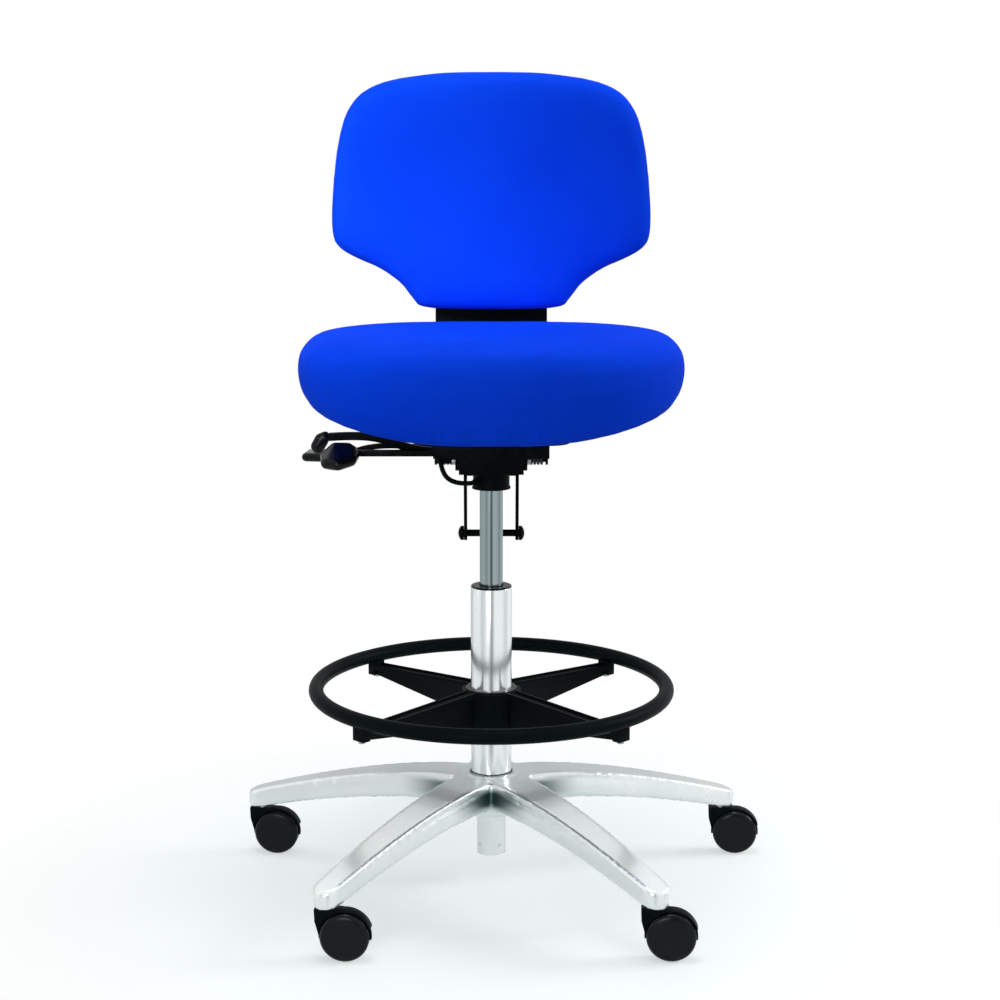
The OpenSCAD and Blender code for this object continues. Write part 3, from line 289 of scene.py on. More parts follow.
def wear_effect() -> Effect:
    """Wear where edges stick out, from how the surface is curved.

    Returns:
        The group, with a mask that is 1 on worn edges.
    """
    effect = Effect("edge_wear", {"Amount": 0.5, "Scale": 120.0}, ("Mask",))
    sharp_from, sharp_gain, break_from, break_gain = 0.515, 14.0, 0.35, 2.0
    board = effect.board
    curved = board.add("ShaderNodeNewGeometry").outputs["Pointiness"]
    patchy = effect.noise(effect.taken["Scale"], 5.0, 0.65)
    edge = board.math("MULTIPLY", board.math("SUBTRACT", curved, sharp_from), sharp_gain, clamp=True)
    broken = board.math("MULTIPLY", board.math("SUBTRACT", patchy, break_from), break_gain, clamp=True)
    effect.give("Mask", board.math("MULTIPLY", board.math("MULTIPLY", edge, broken), effect.taken["Amount"]))
    return effect


class Effects:
    """The node groups that the finishes share."""

    def __init__(self) -> None:
        """Builds every group once."""
        self.grain = grain_effect().tree
        self.weave = weave_effect().tree
        self.brush = brush_effect().tree
        self.wear = wear_effect().tree


# Finishes

class Shine(Enum):
    """How a black part of the chair shines, as the mean roughness of its surface."""

    MATT = 0.55
    SATIN = 0.38
    GLOSS = 0.2


@dataclass(frozen=True)
class MaterialSheet:
    """A material under construction, with its board and Principled shader."""

    material: Material
    board: NodeBoard
    shader: bpy.types.Node
    coords: Socket

    def feed(self, name: str, value: object) -> None:
        """Gives the shader's input of that name a socket or a plain value."""
        self.board.join(value, self.shader.inputs[name])

    def place(self, tree: NodeTree, **values: float) -> dict[str, Socket]:
        """Places a shared node group in the material.

        Args:
            tree: The group.
            values: Values of its inputs, with _ for a space.

        Returns:
            The group's outputs by name.
        """
        node = self.board.add("ShaderNodeGroup", node_tree=tree)
        self.board.join(self.coords, node.inputs["Vector"])
        for key, value in values.items():
            node.inputs[key.replace("_", " ")].default_value = value
        return dict(node.outputs.items())

    def between(self, mask: Socket, low: Colour, high: Colour, ends: Span = (0.0, 1.0)) -> Socket:
        """Mixes two colours by a mask through a colour ramp.

        Args:
            mask: The socket that picks between them.
            low: Colour at the ramp's lower stop.
            high: Colour at its upper stop.
            ends: Places of the two stops.

        Returns:
            The colour's socket.
        """
        ramp = self.board.add("ShaderNodeValToRGB")
        for stop, colour, place in zip(ramp.color_ramp.elements, (low, high), ends):
            stop.color = (*colour, 1.0)
            stop.position = place
        self.board.join(mask, ramp.inputs["Fac"])
        return ramp.outputs["Color"]

    def relief(self, height: Socket, strength: float, depth: float = RELIEF_DEPTH) -> None:
        """Joins a height to the shader's normal through a bump node.

        Args:
            height: The height's socket.
            strength: Strength of the bump.
            depth: Depth of the relief in metres.
        """
        bump = self.board.add("ShaderNodeBump", in_Strength=strength, in_Distance=depth)
        self.board.join(height, bump.inputs["Height"])
        self.feed("Normal", bump.outputs["Normal"])


def new_sheet(name: str, stretch: Point = (1.0, 1.0, 1.0)) -> MaterialSheet:
    """Starts a material on object coordinates.

    Args:
        name: Name of the material.
        stretch: Scale of the pattern along each axis.

    Returns:
        The sheet to build the finish on.
    """
    material = bpy.data.materials.new(name)
    material.use_nodes = True
    board = NodeBoard(material.node_tree)
    shader = material.node_tree.nodes["Principled BSDF"]
    place = board.add("ShaderNodeTexCoord")
    mapping = board.add("ShaderNodeMapping")
    mapping.inputs["Scale"].default_value = stretch
    board.join(place.outputs["Object"], mapping.inputs["Vector"])
    return MaterialSheet(material, board, shader, mapping.outputs["Vector"])


@dataclass(frozen=True)
class UpholsteryCloth:
    """Woven stretch cloth over foam."""

    name: str = "blue_upholstery"
    yarn: Colour = linear(4, 66, 236)
    worn: Colour = linear(8, 72, 246)
    gap: Colour = linear(2, 38, 162)
    gap_share: float = 0.3
    yarns: float = 2600.0
    slubs: float = 160.0
    drift_ends: Span = (0.35, 0.7)
    roughness: float = 0.78
    gloss: float = 0.03
    relief: float = 0.35
    depth: float = 0.3 * MM

    def make(self, effects: Effects) -> Material:
        """Builds the material.

        Args:
            effects: The shared node groups.

        Returns:
            The material.
        """
        sheet = new_sheet(self.name)
        weave = sheet.place(effects.weave, Yarns=self.yarns, Slub_Scale=self.slubs)
        tone = sheet.between(weave["Drift"], self.yarn, self.worn, self.drift_ends)
        share = sheet.board.math("MULTIPLY", weave["Gap"], self.gap_share)
        sheet.feed("Base Color", sheet.board.tint(share, tone, self.gap))
        sheet.feed("Roughness", self.roughness)
        sheet.feed("Specular IOR Level", self.gloss)
        sheet.relief(weave["Height"], self.relief, self.depth)
        return sheet.material


@dataclass(frozen=True)
class BlackMoulding:
    """Black plastic or coated steel with a fine grain."""

    name: str
    shine: Shine = Shine.SATIN
    base: Colour = linear(10, 16, 18)
    patch: Colour = linear(15, 23, 25)
    edge: Colour = linear(34, 44, 46)
    grain: float = 900.0
    patches: float = 11.0
    patch_ends: Span = (0.35, 0.72)
    relief: float = 0.12
    wear: float = 0.5
    wear_scale: float = 150.0
    gloss: float = 0.02
    uneven: float = 0.16

    def make(self, effects: Effects) -> Material:
        """Builds the material.

        Args:
            effects: The shared node groups.

        Returns:
            The material.
        """
        sheet = new_sheet(self.name)
        grain = sheet.place(effects.grain, Scale=self.grain, Patch_Scale=self.patches)
        wear = sheet.place(effects.wear, Amount=self.wear, Scale=self.wear_scale)
        tone = sheet.between(grain["Patch"], self.base, self.patch, self.patch_ends)
        sheet.feed("Base Color", sheet.board.tint(wear["Mask"], tone, self.edge))
        least = self.shine.value - self.uneven / 2
        sheet.feed("Roughness", sheet.board.math("MULTIPLY_ADD", grain["Patch"], self.uneven, least))
        sheet.feed("Specular IOR Level", self.gloss)
        sheet.relief(grain["Height"], self.relief)
        return sheet.material


@dataclass(frozen=True)
class BareMetal:
    """Plated or ground metal."""

    name: str
    low: Colour
    high: Colour
    roughness: float
    metallic: float = 1.0
    stretch: Point = (1.0, 1.0, 1.0)
    marks: float = 60.0
    relief: float = 0.05
    uneven: float = 0.12
    smudges: float = 12.0
    smudge_ends: Span = (0.3, 0.7)
    polish: float = 0.05

    def start(self, effects: Effects) -> tuple[MaterialSheet, dict[str, Socket], Socket]:
        """Starts the material with the metal's own marks.

        Args:
            effects: The shared node groups.

        Returns:
            The sheet, the marks' outputs and the metal's colour.
        """
        sheet = new_sheet(self.name, self.stretch)
        brush = sheet.place(effects.brush, Scale=self.marks, Smudge_Scale=self.smudges)
        least = self.roughness - self.polish
        sheet.feed("Roughness", sheet.board.math("MULTIPLY_ADD", brush["Smudge"], self.uneven, least))
        sheet.feed("Metallic", self.metallic)
        return sheet, brush, sheet.between(brush["Smudge"], self.low, self.high, self.smudge_ends)

    def make(self, effects: Effects) -> Material:
        """Builds the material.

        Args:
            effects: The shared node groups.

        Returns:
            The material.
        """
        sheet, brush, tone = self.start(effects)
        sheet.feed("Base Color", tone)
        sheet.relief(brush["Height"], self.relief)
        return sheet.material


@dataclass(frozen=True)
class PolishedCasting(BareMetal):
    """Polished aluminium, with painted shade and a painted dark reflection in the hollows around the hub.

    The painted shade fades out with the distance from the column (reach) and at two heights (foot and head).
    """

    name: str = "polished_casting"
    low: Colour = linear(236, 244, 243)
    high: Colour = linear(248, 252, 251)
    painted_hub_shade: Colour = linear(66, 92, 94)
    roughness: float = 0.26
    metallic: float = 0.6
    marks: float = 90.0
    uneven: float = 0.1
    reach: Span = (0.05, 0.12)
    foot: Span = (0.1, 0.114)
    head: Span = (0.124, 0.133)

    def make(self, effects: Effects) -> Material:
        """Builds the material.

        Args:
            effects: The shared node groups.

        Returns:
            The material.
        """
        sheet, _, tone = self.start(effects)
        board = sheet.board
        # Painted shade and dark reflection: the colour goes darker near the column, between the foot and head
        # heights.
        split = board.add("ShaderNodeSeparateXYZ")
        board.join(sheet.coords, split.inputs[0])
        x, y, z = split.outputs
        squares = board.math("ADD", board.math("MULTIPLY", x, x), board.math("MULTIPLY", y, y))
        near = board.math("SUBTRACT", 1.0, board.ease(board.math("SQRT", squares), self.reach))
        below = board.math("SUBTRACT", 1.0, board.ease(z, self.head))
        share = board.math("MULTIPLY", near, board.math("MULTIPLY", board.ease(z, self.foot), below))
        sheet.feed("Base Color", board.tint(share, tone, self.painted_hub_shade))
        return sheet.material


FINISHES = {
    "cloth": UpholsteryCloth(),
    "hood": BlackMoulding("caster_hood_plastic", relief=0.18),
    "tread": BlackMoulding("wheel_plastic", Shine.GLOSS, grain=1400.0, relief=0.04, gloss=0.15),
    "ring": BlackMoulding("ring_coating", base=linear(13, 20, 22), patch=linear(18, 27, 29), grain=1600.0,
                          relief=0.08, wear=0.25),
    "spider": BlackMoulding("spider_plastic", relief=0.2),
    "steel_black": BlackMoulding("black_steel", base=linear(8, 12, 13), patch=linear(12, 17, 18),
                                 grain=1200.0, relief=0.1),
    "grip": BlackMoulding("paddle_grip", Shine.GLOSS, base=linear(9, 15, 16), relief=0.1, gloss=0.12),
    "sleeve": BlackMoulding("cable_sleeve", grain=2400.0, relief=0.1, wear=0.0),
    "shell": BlackMoulding("back_shell_plastic", Shine.MATT, grain=700.0, relief=0.3, gloss=0.2),
    "casting": PolishedCasting(),
    "chrome": BareMetal("tube_chrome", linear(238, 246, 246), linear(248, 252, 251), 0.14, metallic=0.6,
                        stretch=(1.0, 1.0, 0.08), relief=0.01),
    "ground": BareMetal("ground_cylinder", linear(118, 134, 136), linear(150, 163, 165), 0.13,
                        stretch=(1.0, 1.0, 0.03), marks=300.0),
    "steel": BareMetal("machined_steel", linear(150, 155, 158), linear(178, 182, 184), 0.32, marks=200.0),
    "spring": BareMetal("oiled_spring_wire", linear(46, 52, 54), linear(70, 76, 78), 0.34, marks=180.0),
    "cover": BlackMoulding("under_shell_plastic", Shine.MATT, base=linear(6, 8, 9), patch=linear(9, 12, 13),
                           grain=2600.0, relief=0.25, wear=0.0),
}
SLOT_FINISHES = {
    "cast": "casting", "chrome": "chrome", "tube_steel": "ground", "steel": "steel", "spring_steel": "spring",
    "black_metal": "steel_black", "black_plastic": "spider", "grip_plastic": "grip", "cable_rubber": "sleeve",
    "tread": "tread", "board": "cover", "seat_fabric": "cloth",
}


def new_palette() -> Palette:
    """Builds every finish of the chair once and returns the materials by name."""
    effects = Effects()
    return {name: finish.make(effects) for name, finish in FINISHES.items()}


# Modelling helpers

def deselect() -> None:
    """Leaves object mode with nothing selected."""
    if bpy.context.object and bpy.context.object.mode != "OBJECT":
        bpy.ops.object.mode_set(mode="OBJECT")
    bpy.ops.object.select_all(action="DESELECT")


def pick(piece: Piece) -> None:
    """Makes one object the only selected and the active one.

    Args:
        piece: The object.
    """
    deselect()
    piece.select_set(True)
    bpy.context.view_layer.objects.active = piece


@contextmanager
def editing(piece: Piece) -> Iterator[None]:
    """Opens a piece for mesh operators, with all of its mesh selected, and closes it after them.

    Args:
        piece: The object.

    Yields:
        Nothing; the operators run in between.
    """
    pick(piece)
    bpy.ops.object.mode_set(mode="EDIT")
    bpy.ops.mesh.select_all(action="SELECT")
    yield
    bpy.ops.object.mode_set(mode="OBJECT")


def seat_in_mesh(piece: Piece) -> Piece:
    """Moves an object's place, turn and scale into its mesh.

    Args:
        piece: The object.

    Returns:
        The same object, at the origin.
    """
    pick(piece)
    bpy.ops.object.transform_apply(location=True, rotation=True, scale=True)
    return piece


def apply_modifier(piece: Piece, kind: str, **settings: object) -> Piece:
    """Adds a modifier and applies it.

    Args:
        piece: The object.
        kind: Blender's name of the modifier type.
        settings: The modifier's attributes.

    Returns:
        The same object.
    """
    pick(piece)
    modifier = piece.modifiers.new(kind.lower(), kind)
    for name, value in settings.items():
        setattr(modifier, name, value)
    bpy.ops.object.modifier_apply(modifier=modifier.name)
    return piece


def smooth_by(piece: Piece, degrees: float) -> Piece:
    """Shades a piece smooth except at edges sharper than an angle.

    Args:
        piece: The object.
        degrees: The angle.

    Returns:
        The same object.
    """
    pick(piece)
    bpy.ops.object.shade_smooth_by_angle(angle=math.radians(degrees))
    return piece


def smooth(piece: Piece) -> None:
    """Shades the whole of a piece smooth."""
    pick(piece)
    bpy.ops.object.shade_smooth()


def dress(piece: Piece, name: str, body: str, material: Material,
          nodes: tuple[str, ...] = ()) -> None:
    """Names a finished piece, gives it its finish and joins it to the frame.

    Args:
        piece: The object, with its place in its mesh.
        name: Name of the piece.
        body: CAD body that it rides on.
        material: Its finish.
        nodes: CAD nodes that it stands for.
    """
    piece.name = piece.data.name = name
    piece.data.materials.clear()
    piece.data.materials.append(material)
    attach(piece, body)
    if nodes:
        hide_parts(*nodes)
    log.info("%s rides on %s", name, body)


def merged_copy(node: str) -> Piece:
    """Copies a CAD node with its mesh merged, at the origin.

    Args:
        node: The CAD node.

    Returns:
        The copy.
    """
    pick(frame["nodes"][node])
    bpy.ops.object.duplicate()
    piece = bpy.context.object
    world = piece.matrix_world.copy()
    piece.parent = None
    piece.matrix_world = world
    piece.data = piece.data.copy()
    piece.data.materials.clear()
    with editing(piece):
        bpy.ops.mesh.customdata_custom_splitnormals_clear()
        bpy.ops.mesh.remove_doubles(threshold=MERGE)
    return seat_in_mesh(piece)


def soften(node: str, width: float, angle: float = 32.0, segments: int = 3) -> Piece:
    """Copies a CAD node and rounds its edges.

    Args:
        node: The CAD node.
        width: Width of the rounding in metres.
        angle: Edges sharper than this many degrees are rounded.
        segments: Steps of the rounding.

    Returns:
        The rounded copy.
    """
    piece = merged_copy(node)
    with editing(piece):
        bpy.ops.mesh.dissolve_limited(angle_limit=math.radians(FLAT_ANGLE))
    apply_modifier(piece, "BEVEL", width=width, segments=segments, limit_method="ANGLE",
                   angle_limit=math.radians(angle), use_clamp_overlap=True, harden_normals=False)
    return smooth_by(piece, SOFT_ANGLE)


def melted(node: str, voxel: float, rounds: int) -> Piece:
    """Copies a CAD node and melts its edges and joins into soft ones, as on a casting.

    Args:
        node: The CAD node.
        voxel: Size of the remesh in metres.
        rounds: Rounds of smoothing.

    Returns:
        The soft copy.
    """
    piece = merged_copy(node)
    for size in (FIRST_VOXEL * voxel, voxel):
        apply_modifier(piece, "REMESH", mode="VOXEL", voxel_size=size)
    apply_modifier(piece, "SMOOTH", factor=0.5, iterations=rounds)
    smooth(piece)
    return piece


def rounded(profile: Profile, radius: float, closed: bool = True, steps: int = 3) -> Profile:
    """Rounds the corners of a profile with short curves.

    Args:
        profile: Radius and height of each corner, in millimetres.
        radius: Reach of the rounding along each side.
        closed: Whether the last corner joins the first.
        steps: Points of each curve.

    Returns:
        The profile with its corners rounded.
    """
    count = len(profile)
    out: list[Span] = []
    for k, corner in enumerate(profile):
        at = Vector(corner)
        if not closed and k in (0, count - 1):
            out.append(tuple(at))
            continue
        sides = (Vector(profile[k - 1]) - at, Vector(profile[(k + 1) % count]) - at)
        first, last = (at + side.normalized() * min(radius, side.length * CORNER_SHARE) for side in sides)
        for step in range(steps + 1):
            t = step / steps
            out.append(tuple(first * (1 - t) ** 2 + at * (2 * t * (1 - t)) + last * t * t))
    return out


def turned(profile: Profile, closed: bool = True, steps: int = 96) -> Piece:
    """Turns a profile about the Z axis, as on a lathe.

    Args:
        profile: Radius and height of each point, in millimetres.
        closed: Whether the last point joins the first; otherwise both lie on the axis.
        steps: Steps of the turn.

    Returns:
        The turned piece.
    """
    mesh = bpy.data.meshes.new("turned")
    points = [(r * MM, 0.0, z * MM) for r, z in profile]
    edges = [(k, k + 1) for k in range(len(points) - 1)]
    if closed:
        edges.append((len(points) - 1, 0))
    mesh.from_pydata(points, edges, [])
    piece = bpy.data.objects.new("turned", mesh)
    bpy.context.collection.objects.link(piece)
    with editing(piece):
        bpy.ops.mesh.spin(steps=steps, angle=2 * math.pi, center=(0.0, 0.0, 0.0), axis=(0.0, 0.0, 1.0))
        bpy.ops.mesh.select_all(action="SELECT")
        bpy.ops.mesh.remove_doubles(threshold=2 * MERGE)
        bpy.ops.mesh.normals_make_consistent(inside=False)
    return smooth_by(piece, TURNED_ANGLE)


def band(inner: float, outer: float, low: float, high: float, edge: float) -> Piece:
    """Turns a ring from its radii, its heights and the rounding of its edges, all in millimetres."""
    return turned(rounded([(inner, low), (outer, low), (outer, high), (inner, high)], edge))


def place_along(piece: Piece, place: Point, axis: Point) -> Piece:
    """Moves a turned piece so that its axis lies along a line.

    Args:
        piece: The piece, turned about Z.
        place: Where its origin goes, in metres.
        axis: Where its Z axis points.

    Returns:
        The same object, at the origin with its place in its mesh.
    """
    turn = Vector((0.0, 0.0, 1.0)).rotation_difference(Vector(axis)).to_matrix().to_4x4()
    piece.matrix_world = Matrix.Translation(Vector(place)) @ turn
    return seat_in_mesh(piece)


def joint(name: str) -> dict:
    """Looks up the record's joint of that name."""
    return next(j for j in frame["record"]["behaviour"]["joints"] if j["name"] == name)


def match_box(piece: Piece, node: str, extra: float) -> None:
    """Scales a piece about its middle so that it fills a CAD node's box.

    Args:
        piece: The piece, at the origin.
        node: The CAD node.
        extra: How far it goes past the box on each side, in metres.
    """
    solid = frame["nodes"][node]
    corners = [solid.matrix_world @ v.co for v in solid.data.vertices]
    own = [v.co for v in piece.data.vertices]
    for k in range(3):
        low, high = min(c[k] for c in corners) - extra, max(c[k] for c in corners) + extra
        first, last = min(c[k] for c in own), max(c[k] for c in own)
        share = (high - low) / (last - first)
        for point in own:
            point[k] = low + (point[k] - first) * share


@dataclass
class Assembly:
    """A sub-assembly of the chair, which dresses its pieces in the chair's finishes."""

    palette: Palette

    def build(self) -> None:
        """Builds and dresses the pieces."""
        raise NotImplementedError


# Soft goods

@dataclass
class Pad:
    """A foam pad under stretched cloth, swelled by simulation."""

    name: str
    node: str
    body: str
    voxel: float
    give: float
    slot: str = "seat_fabric"
    cap: float = 5 * MM
    fill: float = 0.9
    past_box: float = 0.3 * MM
    rounds: int = 4
    last_rounds: int = 2
    pressure: float = 4.0
    steps: int = 20
    quality: int = 4
    mass: float = 0.4
    stiffness: float = 12.0
    bending: float = 1.5

    def starting_form(self) -> Piece:
        """Makes the closed form that the pad swells from.

        Returns:
            The remeshed copy of the pad's solid.
        """
        piece = merged_copy(self.node)
        apply_modifier(piece, "REMESH", mode="VOXEL", voxel_size=self.voxel)
        return apply_modifier(piece, "SMOOTH", factor=0.5, iterations=self.rounds)

    def swell(self, piece: Piece) -> None:
        """Swells the pad with cloth pressure and keeps every point within the cap.

        Args:
            piece: The pad's starting form.
        """
        rest = [v.co.copy() for v in piece.data.vertices]
        pick(piece)
        cloth = piece.modifiers.new("cloth", "CLOTH")
        cloth.settings.use_pressure = True
        cloth.settings.uniform_pressure_force = self.pressure
        cloth.settings.effector_weights.gravity = 0.0
        cloth.settings.quality = self.quality
        cloth.settings.mass = self.mass
        cloth.settings.tension_stiffness = self.stiffness
        cloth.settings.compression_stiffness = self.stiffness
        cloth.settings.bending_stiffness = self.bending
        cloth.point_cache.frame_start, cloth.point_cache.frame_end = 1, self.steps
        for step in range(self.steps):
            bpy.context.scene.frame_set(step + 1)
        bpy.ops.object.modifier_apply(modifier=cloth.name)
        bpy.context.scene.frame_set(1)
        for vertex, before in zip(piece.data.vertices, rest):
            way = vertex.co - before
            reach = min(way.length, self.cap) / max(way.length, 1e-9)
            vertex.co = before + way * (reach * self.give)

    def build(self, material: Material) -> Piece:
        """Builds, swells and dresses the pad.

        Args:
            material: The cloth.

        Returns:
            The pad.
        """
        piece = self.starting_form()
        self.swell(piece)
        apply_modifier(piece, "SMOOTH", factor=0.5, iterations=self.last_rounds)
        match_box(piece, self.node, self.past_box)
        self.settle(piece)
        apply_modifier(piece, "SUBSURF", levels=1, render_levels=1)
        smooth(piece)
        dress(piece, self.name, self.body, material, (self.node,))
        return piece

    def settle(self, piece: Piece) -> None:
        """Presses the pad flat where it rests; plain pads keep their form."""


@dataclass
class SeatPad(Pad):
    """The seat's pad, flat where it lies on its board, with a soft dip to sit in."""

    rest_z: float = 569.4 * MM
    rest_half: float = 110 * MM
    rest_band: float = 4 * MM
    top_z: float = 660 * MM
    dip: float = 2 * MM
    dip_half: Point = (150 * MM, 130 * MM, 0.0)

    def settle(self, piece: Piece) -> None:
        """Keeps the pad above the seat board and lets its middle sink a little.

        Args:
            piece: The pad.
        """
        for vertex in piece.data.vertices:
            if abs(vertex.co.x) < self.rest_half and vertex.co.z < self.rest_z + self.rest_band:
                vertex.co.z = max(vertex.co.z, self.rest_z)
            if vertex.co.z > self.top_z:
                away = (vertex.co.x / self.dip_half[0]) ** 2 + (vertex.co.y / self.dip_half[1]) ** 2
                vertex.co.z -= self.dip * math.exp(-away)


@dataclass
class BackPad(Pad):
    """The back's pad, with its rear face kept on the shell."""

    rear_y: float = 230.0 * MM
    flat_half: float = 60 * MM
    half: float = 202 * MM
    wrap: float = 22 * MM

    def settle(self, piece: Piece) -> None:
        """Keeps the pad in front of the shell.

        Args:
            piece: The pad.
        """
        for vertex in piece.data.vertices:
            share = max(abs(vertex.co.x) - self.flat_half, 0.0) / (self.half - self.flat_half)
            vertex.co.y = min(vertex.co.y, self.rear_y - self.wrap * share * share)


@dataclass
class UnderShell:
    """The thin black moulded shell under the seat's pad.

    Its outline is a rounded rectangle, given by its reach and power, and it takes the faces that look down.
    """

    reach: float = 0.64
    power: int = 3
    down: float = -0.35
    rounds: int = 2
    thickness: float = 0.6 * MM
    crease: float = 60.0

    def build(self, pad: Piece, material: Material) -> None:
        """Forms the shell on the pad's underside.

        Args:
            pad: The finished seat pad.
            material: The shell's finish.
        """
        pick(pad)
        bpy.ops.object.duplicate()
        piece = bpy.context.object
        piece.data = piece.data.copy()
        points = [v.co for v in piece.data.vertices]
        low = [min(c[k] for c in points) for k in range(2)]
        high = [max(c[k] for c in points) for k in range(2)]
        middle = [(a + b) / 2 for a, b in zip(low, high)]
        half = [(b - a) / 2 * self.reach for a, b in zip(low, high)]
        pick(piece)
        bpy.ops.object.mode_set(mode="EDIT")
        bpy.ops.mesh.select_all(action="DESELECT")
        bpy.ops.object.mode_set(mode="OBJECT")
        for face in piece.data.polygons:
            x, y = ((face.center[k] - middle[k]) / half[k] for k in range(2))
            face.select = face.normal.z > self.down or abs(x) ** self.power + abs(y) ** self.power > 1.0
        bpy.ops.object.mode_set(mode="EDIT")
        bpy.ops.mesh.select_mode(type="FACE")
        bpy.ops.mesh.delete(type="FACE")
        bpy.ops.object.mode_set(mode="OBJECT")
        apply_modifier(piece, "SMOOTH", factor=0.5, iterations=self.rounds)
        apply_modifier(piece, "SOLIDIFY", thickness=self.thickness, offset=1.0)
        smooth_by(piece, self.crease)
        dress(piece, "seat_under_shell", "seat", material)


@dataclass
class Upholstery(Assembly):
    """Seat and back pads with the shell under the seat."""

    seat_voxel: float = 5.5 * MM
    seat_give: float = 0.12
    back_voxel: float = 4.5 * MM
    back_give: float = 0.1

    def build(self) -> None:
        """Builds both pads and the shell."""
        seat = SeatPad("seat_pad", "seat_cushion", "seat", self.seat_voxel, self.seat_give)
        pad = seat.build(self.palette["cloth"])
        back = BackPad("back_pad", "back_cushion", "back", self.back_voxel, self.back_give)
        back.build(self.palette["cloth"])
        UnderShell().build(pad, self.palette["cover"])


# Base, casters and column

@dataclass
class StarBase(Assembly):
    """The cast five-leg base."""

    voxel: float = 2.0 * MM
    rounds: int = 9

    def build(self) -> None:
        """Builds the casting with soft joins and polished edges."""
        piece = melted("base_star", self.voxel, self.rounds)
        dress(piece, "star_base", "base", self.palette["casting"], ("base_star",))


@dataclass
class Caster(Assembly):
    """Sizes of a twin-wheel caster, in millimetres."""

    bore_r: float = 4.06
    cap_r: float = 6.0
    hub_r: float = 8.0
    dish_r: float = 20.0
    dish_slope: float = 1.1
    disc_r: float = 22.4
    bevel_r: float = 25.6
    wheel_r: float = 28.0
    in_z: float = 2.6
    dish_z: float = 5.6
    cover_z: float = 9.7
    out_z: float = 12.2
    corner: float = 1.0
    bevel: float = 3.8
    step: float = 0.1
    groove: float = 0.45
    rim: float = 2.0
    sink: float = 0.35
    wheel_edge: float = 0.7
    hood_edge: float = 0.5
    hood_segments: int = 2

    def wheel_profile(self) -> Profile:
        """Lists the wheel's section from the inside of its cover to the middle of its face.

        Returns:
            Radius and height of each corner.
        """
        groove_r = self.disc_r - self.groove
        edge_z = self.out_z - self.step
        cap_z = self.out_z - self.sink
        return [
            (0.0, self.cover_z), (self.bore_r, self.cover_z), (self.bore_r, self.in_z),
            (self.hub_r, self.in_z), (self.hub_r, self.dish_z), (self.dish_r, self.dish_z),
            (self.dish_r + self.dish_slope, self.in_z), (self.wheel_r - self.corner, self.in_z),
            (self.wheel_r, self.in_z + self.corner), (self.wheel_r, self.out_z - self.bevel),
            (self.bevel_r, self.out_z - self.corner), (self.disc_r + self.groove, edge_z),
            (self.disc_r, edge_z - self.groove), (groove_r, self.out_z), (groove_r - self.rim, self.out_z),
            (self.cap_r, cap_z), (0.0, cap_z),
        ]

    def build(self) -> None:
        """Builds ten wheels and five hoods."""
        profile = rounded(self.wheel_profile(), self.wheel_edge, closed=False)
        for place in LEG_PLACES:
            for side, way in (("near", -1), ("far", 1)):
                name = f"{side}_wheel_{place}"
                spin = joint(f"{name}_spin")
                wheel = place_along(turned(profile, closed=False), spin["pos_m"], Vector(spin["axis"]) * way)
                dress(wheel, f"{name}_tyre", name, self.palette["tread"], (f"wheel_{side}_{place}",))
            node = f"caster_hood_{place}"
            hood = soften(node, self.hood_edge * MM, segments=self.hood_segments)
            dress(hood, f"hood_{place}", f"caster_{place}", self.palette["hood"], (node,))


